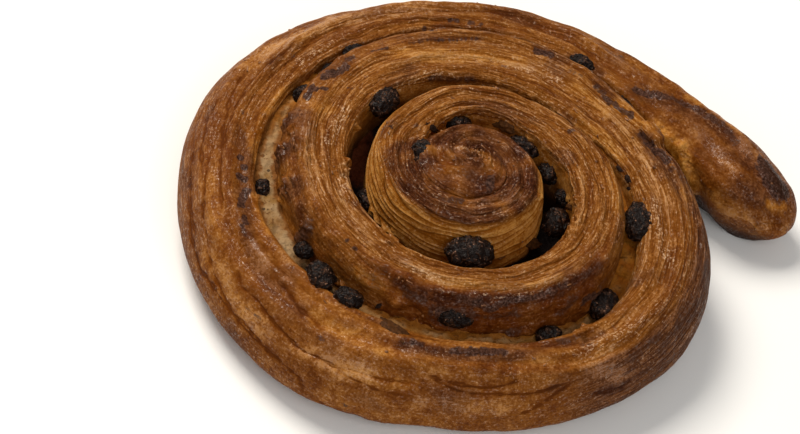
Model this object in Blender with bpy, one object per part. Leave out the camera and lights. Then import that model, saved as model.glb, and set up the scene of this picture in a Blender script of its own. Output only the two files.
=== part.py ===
# Pain aux raisins: one spiral of laminated dough that ends in a loose tail, with custard between its turns
# and raisins in the custard. Sizes are in millimetres and become metres where a mesh is made.
#
# A place on the pastry is given by its turn: the groove between the coils runs outward from the eye, clockwise
# seen from above, and its turns are counted from where it first opens. The dough at turn u lies between the
# groove at u, its inner wall, and the groove one turn further out, its outer wall. Turns below 0 are the tight
# swirl on top of the bun, where the coils have grown together.
import math

import bmesh
import bpy
import numpy as np
from mathutils import Matrix, Vector, noise

MM = 0.001

# driving sizes
EYE_X = -4.88  # the eye of the spiral, from the middle of the base
EYE_Y = -5.64
START_ANGLE = 150.0  # where the groove opens, in degrees from +X
START_RADIUS = 11.8
PITCH = 17.35  # how far the groove moves out in one turn
SWIRL_TURNS = 1.25  # the closed swirl, from the bun's middle to where the groove opens
NOTCH_TURN = 2.33  # where the tail comes away from the body
END_TURN = 2.362  # the tail's end
TIP_TURNS = 0.017  # its rounded end
TIP_ROUND = 0.92  # how far the end closes: 1 would be a point
TIP_WIDTH = 0.25  # the share of the tail's width that stays at its end
TIP_LEVEL = 0.42  # the height that the end closes on, as a share of the crest
CLEAR = 0.35  # gap between pieces that touch

# how finely the solids are made
SWIRL_STEPS = 32  # sections in one turn of the bun
SECTION_STEP = 6.5  # between two sections of the open coils
LIP_STEPS = 4
CREST_STEPS = 7
WALL_STEPS = 3


def through(*points):
    """A smooth curve through (turn, value) points, level beyond its ends."""
    x, y = np.array(points, float).T
    slope = np.gradient(y, x)

    def at(turn):
        turn = np.clip(np.asarray(turn, float), x[0], x[-1])
        i = np.clip(np.searchsorted(x, turn, side="right") - 1, 0, len(x) - 2)
        h = x[i + 1] - x[i]
        s = (turn - x[i]) / h
        rise = (1 + 2 * s) * (1 - s) ** 2 * y[i] + s * s * (3 - 2 * s) * y[i + 1]
        return rise + h * (s * (1 - s) ** 2 * slope[i] + s * s * (s - 1) * slope[i + 1])

    return at


# how far the groove strays from an even spiral, and how wide it is
STRAY = through(
    (0, 1.8), (0.13, 2.9), (0.26, 1.2), (0.39, 1.4), (0.52, 0), (0.66, -2.2), (0.76, -3.2), (0.87, -2.3),
    (1.0, -1.0), (1.14, -1.7), (1.26, -2.9), (1.38, 0.6), (1.51, 1.5), (1.65, -3.0), (1.76, -2.8),
    (1.87, 0.4), (2.0, 1.1), (2.15, 0.1), (2.27, -0.9), (2.36, 0),
)
GAP = through(
    (0, 0), (0.04, 1.6), (0.13, 3.8), (0.26, 4.2), (0.39, 6.2), (0.52, 7.0), (0.7, 6.8), (0.87, 5.4),
    (1.0, 4.8), (1.14, 2.6), (1.26, 1.7), (1.38, 3.2), (1.51, 3.7), (1.65, 3.0), (1.76, 4.3), (1.87, 5.2),
    (2.0, 2.0), (2.15, 1.6), (2.33, 1.7),
)
# the dough's height at its crest, and at its inner lip, by the turn of its inner groove
CREST = through(
    (-1.6, 33.2), (-0.6, 32.6), (-0.2, 31.8), (0, 31), (0.26, 30.6), (0.39, 30), (0.52, 28.4), (0.65, 27.4),
    (0.76, 27.5), (0.87, 28.6), (1.0, 29.6), (1.14, 29.6), (1.26, 28.4), (1.38, 25.2), (1.5, 21.2),
    (1.65, 20.6), (1.76, 21), (1.87, 22.6), (2.0, 24.6), (2.15, 25.6), (2.27, 23.5), (2.36, 18),
)
LIP_DROP = through(
    (0.05, 2.6), (0.5, 3.2), (0.76, 3.6), (1.0, 3), (1.3, 2.2), (1.5, 4.2), (1.76, 4.2), (1.9, 3.4), (2.36, 3.6),
)
# the height where the dough's outer flank turns into its wall, by the turn of its outer groove
TOE = through(
    (-1.25, 32.5), (-0.3, 31.2), (0, 29.4), (0.07, 24), (0.15, 20), (0.3, 18), (0.6, 17), (0.9, 19), (1.0, 23),
    (1.14, 25), (1.26, 25), (1.38, 21), (1.5, 16.5), (1.65, 16), (1.76, 16.5), (1.87, 19), (2.0, 21),
    (2.15, 22.5), (2.27, 20), (2.36, 14), (2.43, 10.5), (3.2, 10.5), (3.362, 8),
)
# the share of the dough's width that the rounded outer flank takes
FLANK = through(
    (-1.25, 0.3), (0, 0.3), (0.3, 0.4), (0.8, 0.4), (1.0, 0.3), (1.3, 0.22), (1.5, 0.33), (1.75, 0.33), (1.9, 0.3),
    (2.3, 0.25), (2.45, 0.5), (3.362, 0.48),
)
SWIRL_LIP = 0.28  # the share of the width that the rounded inner lip takes, on the swirl
COIL_LIP = 0.16  # and on the coils
LIP_WIDTH = 2.2  # but no wider than this
THIN_STRIP = 5.0  # a strip of dough narrower than this lies lower than its crest
GROOVE_START = 0.05  # the turns over which the groove's edges part
WALL_FOOT = 0.3  # how far a wall in a groove is drawn in at the base

# the outside of the last turn, and the inner side of the tail
RIM = through(
    (2.36, 53.6), (2.385, 55.8), (2.41, 57.4), (2.46, 57.8), (2.52, 55.2), (2.6, 53.2), (2.66, 53.2),
    (2.72, 57.8), (2.8, 60.6), (2.9, 64.6), (2.97, 67.9), (3.03, 67.2), (3.1, 64.9), (3.17, 66.3),
    (3.25, 68.2), (3.29, 73), (3.325, 79.8), (3.362, 84),
)
RIM_FOOT = 6.5  # how far the outside curls under
RIM_CURL = (2.34, 2.45)  # where that begins and is full
NOTCH_BLEND = 0.03  # the turns over which the groove's side becomes the outside
TAIL_FOOT = 7.5  # how far the tail's inner side leans out over the notch
TAIL_LIFT = (2.29, 2.335)  # where that begins and is full
TAIL_START = 2.30  # where the tail's inner side leaves the groove
TAIL_SIDE = through((2.30, 52.2), (2.312, 54.6), (2.33, 57.0), (2.348, 59.6), (2.362, 64.6))

RIDGES = 3.0  # layers of dough that show across a coil
RIDGE_RISE = 0.45
RIDGED_WIDTH = 8.0  # dough narrower than this has lower ridges

CUSTARD_START = 0.05
CUSTARD_END = 2.31
CUSTARD_STEP = 6.0
CUSTARD_BASE = 0.3
CUSTARD_LUMP = 0.5  # how uneven its top is
CUSTARD_EDGE = 0.8  # how far the top drops at both walls
CUSTARD_TOP = through(
    (0.05, 19), (0.15, 12.5), (0.3, 10), (0.5, 9.5), (0.75, 9.5), (0.88, 11), (1.0, 16.5), (1.14, 22.5), (1.26, 23),
    (1.38, 19), (1.5, 16.5), (1.58, 17.6), (1.7, 17.2), (1.8, 16.4), (1.87, 18.4), (2.0, 19.6), (2.15, 21), (2.27, 18),
    (2.33, 13),
)

# each raisin: turn, distance out from the groove's middle, height, length, width, thickness, heading in degrees
# from the groove's own
RAISINS = (
    (-0.064, -0.6, 31.2, 7.2, 5.4, 4.6, 10),
    (0.112, 1.4, 27.0, 6.6, 4.6, 4.2, 0),
    (0.252, 1.4, 25.2, 7.8, 5.6, 5.0, 15),
    (0.313, 2.4, 22.5, 6.0, 5.4, 5.0, -20),
    (0.361, 3.3, 20.8, 5.2, 4.6, 4.4, 30),
    (0.417, 0.3, 20.5, 8.0, 6.6, 5.6, 0),
    (0.641, -1.3, 25.5, 11.4, 7.8, 7.0, 4),
    (0.887, -2.6, 17.8, 6.4, 4.6, 4.4, 10),
    (1.020, 0.9, 27.4, 9.4, 6.2, 5.4, 20),
    (1.397, 2.2, 22.2, 11.4, 7.8, 6.6, -6),
    (1.497, -0.1, 18.8, 8.8, 6.6, 5.4, 12),
    (1.562, 0.3, 18.4, 6.4, 4.6, 4.2, -10),
    (1.652, -3.0, 20.8, 8.4, 5.2, 4.8, 0),
    (1.748, 2.0, 20.2, 7.2, 5.4, 4.8, 25),
    (1.780, 1.6, 20.5, 8.4, 6.8, 5.6, -15),
    (1.812, -1.0, 19.8, 5.0, 3.8, 3.6, 30),
    (1.886, 0.9, 18.9, 5.0, 4.0, 3.8, 0),
    (1.984, -1.2, 22.5, 5.8, 4.6, 4.2, 0),
    (2.017, -1.4, 23.0, 6.2, 4.2, 4.0, 8),
    (2.044, 0.4, 23.8, 5.6, 3.6, 3.6, 0),
    (2.225, 2.4, 24.0, 6.8, 4.0, 3.6, 4),
    (2.270, -0.5, 21.8, 7.2, 4.8, 4.2, -8),
)
RAISIN_SEGMENTS = 12
RAISIN_RINGS = 7
WRINKLE = 0.09  # how deep the raisins' folds are, as a share of their radius


def angle_of(turn):
    return np.radians(START_ANGLE - 360.0 * np.asarray(turn, float))


def groove(turn):
    """Radius of the groove's middle. Inside the opening it is the swirl on the bun, which winds in to the eye."""
    turn = np.asarray(turn, float)
    open_part = START_RADIUS + PITCH * turn + STRAY(turn)
    swirl_part = (START_RADIUS + STRAY(0)) * np.clip(1 + turn / SWIRL_TURNS, 0, 1)
    return np.where(turn < 0, swirl_part, open_part)


def inner_wall(turn):
    """Radius of the dough's inner wall, which faces the eye."""
    side = groove(turn) + GAP(turn) / 2
    return np.where(turn > TAIL_START, TAIL_SIDE(turn) + GAP(TAIL_START) / 2, side)


def outer_wall(turn):
    """Radius of the dough's outer wall at this turn of the groove outside it."""
    side = groove(turn) - GAP(turn) / 2
    blend = np.clip((turn - NOTCH_TURN) / NOTCH_BLEND, 0, 1)
    return np.where(turn < NOTCH_TURN, side, (1 - blend) * side + blend * RIM(turn))


def tip(turn):
    """1 along the dough, and less towards the tail's rounded end."""
    share = np.clip((turn - (END_TURN - TIP_TURNS)) / TIP_TURNS, 0, 1)
    return np.sqrt(1 - TIP_ROUND * share**2)


def ridges(turn, across):
    """The edges of the dough's layers, which run along the coils and drift slowly across them."""
    drift = 0.35 * np.sin(2 * np.pi * 1.3 * turn) + 0.2 * np.sin(2 * np.pi * 3.1 * turn + 1)
    wave = np.sin(2 * np.pi * (RIDGES * across + drift))
    sway = np.sin(2 * np.pi * 7.3 * turn) * np.sin(2 * np.pi * (across + 2.2 * turn))
    return RIDGE_RISE * (wave + 0.7 * sway) * np.sin(np.pi * across) ** 0.5


def top_of(turn):
    """(radius, height) of the dough's top from its inner to its outer wall: lip, crest and flank."""
    near, far = float(inner_wall(turn)), float(outer_wall(turn + 1))
    width = far - near
    edge_in = float(TOE(turn))
    if turn >= 0:
        open_edge = float(CREST(turn) - LIP_DROP(turn))
        edge_in = float(TOE(0)) + (open_edge - float(TOE(0))) * min(turn / GROOVE_START, 1)
    edge_out = float(TOE(turn + 1))
    edge = max(edge_in, edge_out)
    crest = edge + (float(CREST(turn)) - edge) * min(width / THIN_STRIP, 1)
    lip = SWIRL_LIP if turn < 0 else min(COIL_LIP, LIP_WIDTH / width)
    flank = float(FLANK(turn + 1))
    rows = []
    for k in range(LIP_STEPS):
        bend = 0.5 * math.pi * k / LIP_STEPS
        rows.append((lip * (1 - math.cos(bend)), edge_in + (crest - edge_in) * math.sin(bend)))
    for k in range(CREST_STEPS + 1):
        share = k / CREST_STEPS
        rows.append((lip + (1 - lip - flank) * share, crest))
    for k in range(1, LIP_STEPS + 1):
        bend = 0.5 * math.pi * k / LIP_STEPS
        rows.append((1 - flank * (1 - math.sin(bend)), edge_out + (crest - edge_out) * math.cos(bend)))
    across, height = np.array(rows).T
    relief = ridges(turn, across) * min(width / RIDGED_WIDTH, 1)
    relief[0] = relief[-1] = 0
    return near + width * across, height + relief


def wall_of(radius, edge, foot):
    """(radius, height) down a wall from its edge to the base, where it is drawn in by foot."""
    share = np.linspace(0, 1, WALL_STEPS + 1)[1:]
    return radius + foot * share**2, edge * (1 - share)


def foot_of(turn, most, stretch):
    """How far a wall is drawn in at the base: hardly in the grooves, and up to most past a stretch of turns."""
    share = min(max((turn - stretch[0]) / (stretch[1] - stretch[0]), 0), 1)
    return min(WALL_FOOT, float(GAP(turn)) / 4) + most * share * share * (3 - 2 * share)


def point(turn, radius, height):
    angle = float(angle_of(turn))
    return Vector((EYE_X + radius * math.cos(angle), EYE_Y + radius * math.sin(angle), height)) * MM


def section_of(turn):
    """Rings of points across the dough at this turn: (inner wall, top, outer wall), with the tail's end drawn in."""
    radius, height = top_of(turn)
    inner = wall_of(radius[0], height[0], foot_of(turn, TAIL_FOOT, TAIL_LIFT))
    outer = wall_of(radius[-1], height[-1], -foot_of(turn + 1, RIM_FOOT, RIM_CURL))
    middle = (radius[0] + radius[-1]) / 2
    shrink = float(tip(turn))
    level = TIP_LEVEL * float(CREST(turn))
    out = []
    for r, z in (inner, (radius, height), outer):
        r = middle + (np.asarray(r) - middle) * (TIP_WIDTH + (1 - TIP_WIDTH) * shrink)
        z = level + (np.asarray(z) - level) * shrink
        out.append([point(turn, a, b) for a, b in zip(r, z)])
    return out


def turns_of_dough():
    """The turns at which a section is made: even in the swirl, whose coils share their edges, then by length."""
    count = round(SWIRL_STEPS * (1 + SWIRL_TURNS))
    turns = [-(1 + SWIRL_TURNS) + k / SWIRL_STEPS for k in range(count)] + [0.0]
    while turns[-1] < END_TURN - TIP_TURNS:
        middle = float(inner_wall(turns[-1]) + outer_wall(turns[-1] + 1)) / 2
        turns.append(min(turns[-1] + SECTION_STEP / (2 * math.pi * middle), END_TURN - TIP_TURNS))
    for share in (0.45, 0.75, 0.93, 1.0):
        turns.append(END_TURN - TIP_TURNS * (1 - share))
    return turns


def finish(bm, name, material):
    bmesh.ops.remove_doubles(bm, verts=bm.verts, dist=2e-6)
    bmesh.ops.dissolve_degenerate(bm, edges=bm.edges, dist=1e-6)
    bmesh.ops.recalc_face_normals(bm, faces=bm.faces)
    mesh = bpy.data.meshes.new(name)
    bm.to_mesh(mesh)
    bm.free()
    mesh.shade_smooth()
    mesh.set_sharp_from_angle(angle=math.radians(50))
    mesh.materials.append(material)
    obj = bpy.data.objects.new(name, mesh)
    bpy.context.scene.collection.objects.link(obj)
    return obj


def make_material(name, colour, roughness):
    material = bpy.data.materials.new(name)
    material.use_nodes = True
    shader = material.node_tree.nodes["Principled BSDF"]
    shader.inputs["Base Color"].default_value = (*colour, 1)
    shader.inputs["Roughness"].default_value = roughness
    shader.inputs["Metallic"].default_value = 0
    return material


def make_dough():
    """The coiled dough: every section is joined to the next, with walls only where the groove is open."""
    bm = bmesh.new()
    turns = turns_of_dough()
    rows = []
    for turn in turns:
        inner, top, outer = section_of(turn)
        rows.append([[bm.verts.new(p) for p in part] for part in (inner[::-1], top, outer)])
    for turn, one, two in zip(turns, rows, rows[1:]):
        chain_one, chain_two = list(one[1]), list(two[1])
        if turn > -1e-9:
            chain_one, chain_two = one[0] + chain_one, two[0] + chain_two
        else:
            chain_one, chain_two = one[0][:1] + chain_one, two[0][:1] + chain_two
        if turn + 1 > -1e-9:
            chain_one, chain_two = chain_one + one[2], chain_two + two[2]
        else:
            chain_one, chain_two = chain_one + one[2][-1:], chain_two + two[2][-1:]
        closed_in, closed_out = turn < -1e-9, turn + 1 < -1e-9
        count = len(chain_one)
        for k in range(count):
            after = (k + 1) % count
            shared_side = (closed_in and k == 0) or (closed_out and k == count - 2)
            if not shared_side:
                bm.faces.new((chain_one[k], chain_one[after], chain_two[after], chain_two[k]))
    bm.faces.new(rows[-1][0] + rows[-1][1] + rows[-1][2])
    loose = [v for v in bm.verts if not v.link_faces]
    bmesh.ops.delete(bm, geom=loose, context="VERTS")
    return finish(bm, "dough", make_material("baked_dough", (0.42, 0.19, 0.06), 0.5))


def make_custard():
    """The custard that lies between the coils, all the way down, clear of both walls."""
    bm = bmesh.new()
    turn, rings = CUSTARD_START, []
    while turn < CUSTARD_END:
        near = float(outer_wall(turn)) + CLEAR
        far = float(inner_wall(turn)) - CLEAR
        top = float(CUSTARD_TOP(turn)) + CUSTARD_LUMP * math.sin(41 * turn) * math.sin(17 * turn + 1)
        middle = (near + far) / 2
        outline = (
            (near, CUSTARD_BASE), (near, top / 2), (near, top - CUSTARD_EDGE), ((near + middle) / 2, top),
            ((middle + far) / 2, top), (far, top - CUSTARD_EDGE), (far, top / 2), (far, CUSTARD_BASE),
        )
        rings.append([bm.verts.new(point(turn, r, z)) for r, z in outline])
        turn += CUSTARD_STEP / (2 * math.pi * middle)
    for one, two in zip(rings, rings[1:]):
        for k in range(len(one)):
            after = (k + 1) % len(one)
            bm.faces.new((one[k], one[after], two[after], two[k]))
    bm.faces.new(rings[0])
    bm.faces.new(rings[-1])
    return finish(bm, "custard", make_material("custard", (0.72, 0.46, 0.14), 0.35))


def raisin_mesh(bm, spec, number, grow=0.0):
    """A raisin as a folded ellipsoid, or with grow the hollow that it lies in."""
    turn, out, height, length, width, thickness, heading = spec
    made = bmesh.ops.create_uvsphere(bm, u_segments=RAISIN_SEGMENTS, v_segments=RAISIN_RINGS, radius=1.0)
    for vert in made["verts"]:
        seed = Vector((3.1 * number, 0, 0))
        fold = noise.noise(vert.co * 1.9 + seed) + 0.5 * noise.noise(vert.co * 4.0 + seed)
        scale = 1 + WRINKLE * fold
        half = Vector((length, width, thickness)) * 0.5
        vert.co = Vector(vert.co[i] * (half[i] * scale + grow) for i in range(3)) * MM
    along = float(angle_of(turn)) - math.pi / 2 + math.radians(heading)
    place = Matrix.Translation(point(turn, float(groove(turn)) + out, height))
    tilt = Matrix.Rotation(math.radians(12 * math.sin(5 * number)), 4, "X")
    bmesh.ops.transform(bm, matrix=place @ Matrix.Rotation(along, 4, "Z") @ tilt, verts=made["verts"])


def make_raisins():
    skin = make_material("raisin_skin", (0.03, 0.015, 0.012), 0.45)
    for number, spec in enumerate(RAISINS, start=1):
        bm = bmesh.new()
        raisin_mesh(bm, spec, number)
        finish(bm, f"raisin_{number:02d}", skin)


def make_sockets():
    """The hollows that the raisins press into the dough and the custard, a little larger than the raisins."""
    sockets = bpy.data.collections.new("sockets")
    bpy.context.scene.collection.children.link(sockets)
    plain = make_material("socket", (0.5, 0.5, 0.5), 0.5)
    for number, spec in enumerate(RAISINS, start=1):
        bm = bmesh.new()
        raisin_mesh(bm, spec, number, grow=CLEAR)
        socket = finish(bm, f"socket_{number:02d}", plain)
        bpy.context.scene.collection.objects.unlink(socket)
        sockets.objects.link(socket)
        socket.hide_render = True
        socket.display_type = "WIRE"
    return sockets


def cut(obj, sockets):
    boolean = obj.modifiers.new("sockets", "BOOLEAN")
    boolean.operation = "DIFFERENCE"
    boolean.operand_type = "COLLECTION"
    boolean.collection = sockets
    boolean.solver = "EXACT"


def main():
    for obj in list(bpy.data.objects):
        bpy.data.objects.remove(obj, do_unlink=True)
    dough = make_dough()
    custard = make_custard()
    make_raisins()
    sockets = make_sockets()
    cut(dough, sockets)
    cut(custard, sockets)


main()
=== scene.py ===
import functools
import math

import bmesh
import bpy
import numpy as np
from mathutils import Matrix, Vector


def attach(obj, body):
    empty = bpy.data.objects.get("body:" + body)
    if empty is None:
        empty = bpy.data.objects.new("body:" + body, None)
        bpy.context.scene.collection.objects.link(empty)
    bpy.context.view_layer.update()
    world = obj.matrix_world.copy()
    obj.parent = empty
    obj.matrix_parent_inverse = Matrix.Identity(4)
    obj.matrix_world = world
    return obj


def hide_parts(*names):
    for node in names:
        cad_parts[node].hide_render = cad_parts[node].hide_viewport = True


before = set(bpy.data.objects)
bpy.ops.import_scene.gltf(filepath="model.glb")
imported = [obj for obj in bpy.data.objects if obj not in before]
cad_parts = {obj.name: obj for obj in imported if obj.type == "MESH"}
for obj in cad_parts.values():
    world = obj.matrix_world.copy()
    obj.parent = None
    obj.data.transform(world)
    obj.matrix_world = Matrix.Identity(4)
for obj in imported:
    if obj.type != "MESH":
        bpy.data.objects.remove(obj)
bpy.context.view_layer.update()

MM = 0.001

# driving sizes of the spiral, in mm and in turns of the groove from where it opens
EYE_X = -4.88
EYE_Y = -5.64
START_ANGLE = 150.0
START_RADIUS = 11.8
PITCH = 17.35
SWIRL_TURNS = 1.25
NOTCH_TURN = 2.33
END_TURN = 2.362
# the tail's end: how long it tapers, how far that closes it, and how narrow and at what height it closes
TIP_TURNS = 0.017
TIP_ROUND = 0.92
TIP_WIDTH = 0.25
TIP_LEVEL = 0.42
DOME_TURNS = 0.0035  # the dome that closes it
DOME_SECTIONS = 8

# how finely the dough is made: the bun's sections in one turn, then mm between two sections
SWIRL_STEPS = 236
COIL_STEP = 0.46
RING_STEP = 0.56
COIL_END = 1.22  # where the second of these steps takes over
# rows over the top, down each wall, and in each of the three parts that the top is worked out in
TOP_ROWS = 176
WALL_ROWS = 16
FINE_ROWS = 60
FIRST_TOP = WALL_ROWS
LAST_TOP = WALL_ROWS + TOP_ROWS - 1
# where each piece of the dough begins
PIECES = {"dough_bun": -(1 + SWIRL_TURNS), "dough_coil": 0.0, "dough_ring": 1.12, "dough_tail": 1.86}
NEARLY_ZERO = 1e-9
COIL_UV = 0.1  # units of the pattern along the coil in one mm
BASE_FADE = 3  # the relief sets in over this height above the base, in mm
# how finely the balls are divided that raisins, films and crumbs are made from
RAISIN_BALL = 5
FILM_BALL = 4
CRUMB_BALL = 1


def through(*points):
    """A smooth curve through (turn, value) points, level beyond its ends."""
    x, y = np.array(points, float).T
    slope = np.gradient(y, x)

    def at(turn):
        turn = np.clip(np.asarray(turn, float), x[0], x[-1])
        i = np.clip(np.searchsorted(x, turn, side="right") - 1, 0, len(x) - 2)
        h = x[i + 1] - x[i]
        s = (turn - x[i]) / h
        rise = (1 + 2 * s) * (1 - s) ** 2 * y[i] + s * s * (3 - 2 * s) * y[i + 1]
        return rise + h * (s * (1 - s) ** 2 * slope[i] + s * s * (s - 1) * slope[i + 1])

    return at


# how far the groove strays from an even spiral, and how wide it is
STRAY = through(
    (0, 1.8), (0.13, 2.9), (0.26, 1.2), (0.39, 1.4), (0.52, 0), (0.66, -2.2), (0.76, -3.2), (0.87, -2.3),
    (1.0, -1.0), (1.14, -1.7), (1.26, -2.9), (1.38, 0.6), (1.51, 1.5), (1.65, -3.0), (1.76, -2.8),
    (1.87, 0.4), (2.0, 1.1), (2.15, 0.1), (2.27, -0.9), (2.36, 0),
)
GAP = through(
    (0, 0), (0.04, 1.6), (0.13, 3.8), (0.26, 4.2), (0.39, 6.2), (0.52, 7.0), (0.7, 6.8), (0.87, 5.4),
    (1.0, 4.8), (1.14, 2.6), (1.26, 1.7), (1.38, 3.2), (1.51, 3.7), (1.65, 3.0), (1.76, 4.3), (1.87, 5.2),
    (2.0, 2.0), (2.15, 1.6), (2.33, 1.7),
)
# the dough's height at its crest, and how far its inner lip lies below, by the turn of its inner groove
CREST = through(
    (-1.6, 33.2), (-0.6, 32.6), (-0.2, 31.8), (0, 31), (0.26, 30.6), (0.39, 30), (0.52, 28.4), (0.65, 27.4),
    (0.76, 27.5), (0.87, 28.6), (1.0, 29.6), (1.14, 29.6), (1.26, 28.4), (1.38, 25.2), (1.5, 21.2),
    (1.65, 20.6), (1.76, 21), (1.87, 22.6), (2.0, 24.6), (2.15, 25.6), (2.27, 23.5), (2.36, 18),
)
LIP_DROP = through(
    (0.05, 2.6), (0.5, 3.2), (0.76, 3.6), (1.0, 3), (1.3, 2.2), (1.5, 4.2), (1.76, 4.2), (1.9, 3.4),
    (2.36, 3.6),
)
# the height where the dough's outer flank turns into its wall, by the turn of its outer groove
TOE = through(
    (-1.25, 32.5), (-0.3, 31.2), (0, 29.4), (0.07, 24), (0.15, 20), (0.3, 18), (0.6, 17), (0.9, 19),
    (1.0, 23), (1.14, 25), (1.26, 25), (1.38, 21), (1.5, 16.5), (1.65, 16), (1.76, 16.5), (1.87, 19),
    (2.0, 21), (2.15, 22.5), (2.27, 20), (2.36, 14), (2.43, 10.5), (3.2, 10.5), (3.362, 8),
)
# the share of the dough's width that the rounded outer flank takes
FLANK = through(
    (-1.25, 0.3), (0, 0.3), (0.3, 0.4), (0.8, 0.4), (1.0, 0.3), (1.3, 0.22), (1.5, 0.33), (1.75, 0.33),
    (1.9, 0.3), (2.3, 0.25), (2.45, 0.5), (3.362, 0.48),
)
# the share of the width that the inner lip takes in the swirl and further out, and its most in mm
SWIRL_LIP = 0.28
COIL_LIP = 0.16
LIP_WIDTH = 2.2
THIN_STRIP = 5.0  # narrower dough stands lower
LEAST_WIDTH = 1e-6
GROOVE_START = 0.05  # where the groove has opened fully
WALL_FOOT = 0.3  # how far a wall is drawn in at the base
# the outside of the last turn, and the inner side of the tail
RIM = through(
    (2.36, 53.6), (2.385, 55.8), (2.41, 57.4), (2.46, 57.8), (2.52, 55.2), (2.6, 53.2), (2.66, 53.2),
    (2.72, 57.8), (2.8, 60.6), (2.9, 64.6), (2.97, 67.9), (3.03, 67.2), (3.1, 64.9), (3.17, 66.3),
    (3.25, 68.2), (3.29, 73), (3.325, 79.8), (3.362, 84),
)
# how far the rim and the tail's inner side are drawn in at the base, and where that begins and is full
RIM_FOOT = 6.5
RIM_CURL = (2.34, 2.45)
TAIL_FOOT = 7.5
TAIL_LIFT = (2.29, 2.335)
NOTCH_BLEND = 0.03
TAIL_START = 2.30
TAIL_SIDE = through((2.30, 52.2), (2.312, 54.6), (2.33, 57.0), (2.348, 59.6), (2.362, 64.6))
# broad ridges along the coils: how many, how high in mm, and the width of dough on which they are full
RIDGES = 3.0
RIDGE_RISE = 0.45
RIDGED_WIDTH = 8.0

# the pastry cream
CREAM_START = 0.03
CREAM_END = 2.312
CREAM_STEP = 0.42  # between two of its sections, in mm
CREAM_ROWS = 30
CREAM_REACH = 0.9  # how far it reaches into both walls
CREAM_BASE = 0.4
CREAM_TOP = through(
    (0.05, 19), (0.15, 12.5), (0.3, 10), (0.5, 9.5), (0.75, 9.5), (0.88, 11), (1.0, 16.5), (1.14, 22.5),
    (1.26, 23), (1.38, 19), (1.5, 16.5), (1.58, 17.6), (1.7, 17.2), (1.8, 16.4), (1.87, 18.8), (2.0, 20),
    (2.15, 21), (2.27, 18), (2.33, 13),
)
CREAM_LUMPS = ((0.55, 3.4, 3.4, 40), (0.4, 1.5, 1.5, 41), (0.22, 0.8, 0.8, 42))  # as the swells below
CREAM_BROWNING = ((1.0, 5, 5, 44), (0.4, 1.6, 1.6, 45))
CREAM_CREST = (1.88, 1.98, 2.2, 2.3)  # where it wells up, as the stretches below
CREAM_WELL = 2.2
FAR_FROM_DOUGH = 9.0  # stands for the gap at its two sides, which lie inside the dough

# loose crust, in mm: flakes of random length, width, lift, curl and direction, and crumbs of random size
FLAKES = 70
FLAKE_LENGTH = (0.4, 1.5)
FLAKE_WIDTH = (0.15, 0.45)
FLAKE_LIFT = (0.1, 0.5)
FLAKE_SPIN = 0.35
FLAKE_THICKNESS = 0.07
FLAKE_RAGGED = 0.35
CRUMBS = 160
CRUMB_SIZE = (0.12, 0.38)

# the edges of the dough's layers: mm between two of each kind, and the share of that over which each rises
BROAD = 2.4
MIDDLE = 1.05
FINE = 0.56
THREAD = 0.42
STEPS = 4.3
FOLDS = 1.9
LAYER_RISE = 0.7
# how far each kind stands out, in mm, and how strongly it shows in the colour
RAISED = {"broad": 0.14, "middle": 0.09, "fine": 0.02, "steps": 0.36}
LINED = {"broad": 0.32, "middle": 0.34, "fine": 0.2, "steps": 0.2, "thread": 0.1}
THREAD_RISE = 0.01
FOLD_RISE = 0.24
FOLD_LINE = 0.5
CRACK_LINE = 0.9
WALL_GRAIN = 0.35  # how strongly they show on the wall that faces the eye
STEPPED = (1.8, 2.0)  # the turns over which the broad steps set in
# mm over which the relief fades, at the edge that two coils of the swirl share, and from the eye outwards
SHARED_EDGE = 1.2
EYE_EDGE = (0.5, 3.5)
# random swells: how high in mm, mm between two of them along the dough and across it, and a seed
DRIFT = ((1.1, 19, 6, 1), (0.3, 6, 2.2, 2))
LUMPS = ((0.5, 8, 8, 6), (0.22, 3.2, 3.2, 7))
BURNT_BUMPS = ((0.9, 5, 4, 8), (0.5, 2.2, 1.8, 9))
LOBES = ((0.5, 3.6, 3, 8),)
LIP_CRAGS = ((0.45, 2.6, 3, 10), (0.35, 1.1, 1.5, 11))
LIP_REACH = 1.1
CRAG_RISE = 0.6
CRAG_BITS = ((1.3, 1.4, 1.0, 15),)
# random patches: how high a swell is where they begin and are full, then its mm along and across, and a seed
STRONG = (-0.45, 0.35, 16, 3.1, 3)
WEAK = (-0.5, 0.3, 9, 1.7, 4)
SCORCHED = (-0.2, 0.6, 6, 3, 22)
FRECKLES = (0.55, 0.8, 3.4, 2.4, 23)
FRECKLED = (-0.1, 0.4, 17, 12, 24)
RING_TOAST = (0.25, 0.6, 12, 7, 27)
BAND_BURNS = (-0.5, 0.3, 7, 2.5, 29)
DARK_BANDS = (0.1, 0.7, 30, 1.6, 31)
CREAM_BLOTCHES = (-0.1, 0.5, 2.4, 2.4, 48)
# stretches of the dough, by turn or by share of its width: where each begins, is full, starts to fade, ends
OUTER_SIDE = (0.55, 0.75, 1.2, 1.5)
BUN_FLANK = (-1.0, -0.8, -0.02, 0.1)
BURNT_FLANK = (0.4, 0.52, 0.70, 0.82)
LEFT_FLANK = (0.72, 0.82, 1.02, 1.12)
SANDY_BAND = (1.88, 1.97, 2.1, 2.2)
RIM_BAND = (1.3, 1.37, 1.52, 1.6)
# the ring's near outer side, browner and darkened by painted shade
FRONT_BROWN_AND_SHADE = (1.5, 1.62, 1.78, 1.86)
LEFT_RING = (1.75, 1.85, 2.0, 2.1)
INNER_WALL = (1.5, 3.0, 6, 11)  # in mm below the crest
# where a stretch only begins or only ends, in turns: the tail, the rim, the bun's top and the open coils
TAIL_TURNS = (2.24, 2.30)
RIM_TURNS = (2.31, 2.36)
BUN_TURNS = (0.02, -0.06)
OPEN_TURN = 0.1
GROOVE_SHADE = (7, 17)  # mm below the crest over which a groove turns dark
CHAR_SHADE = (1.25, 1.65)  # how burnt the dough is where it turns black
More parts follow.
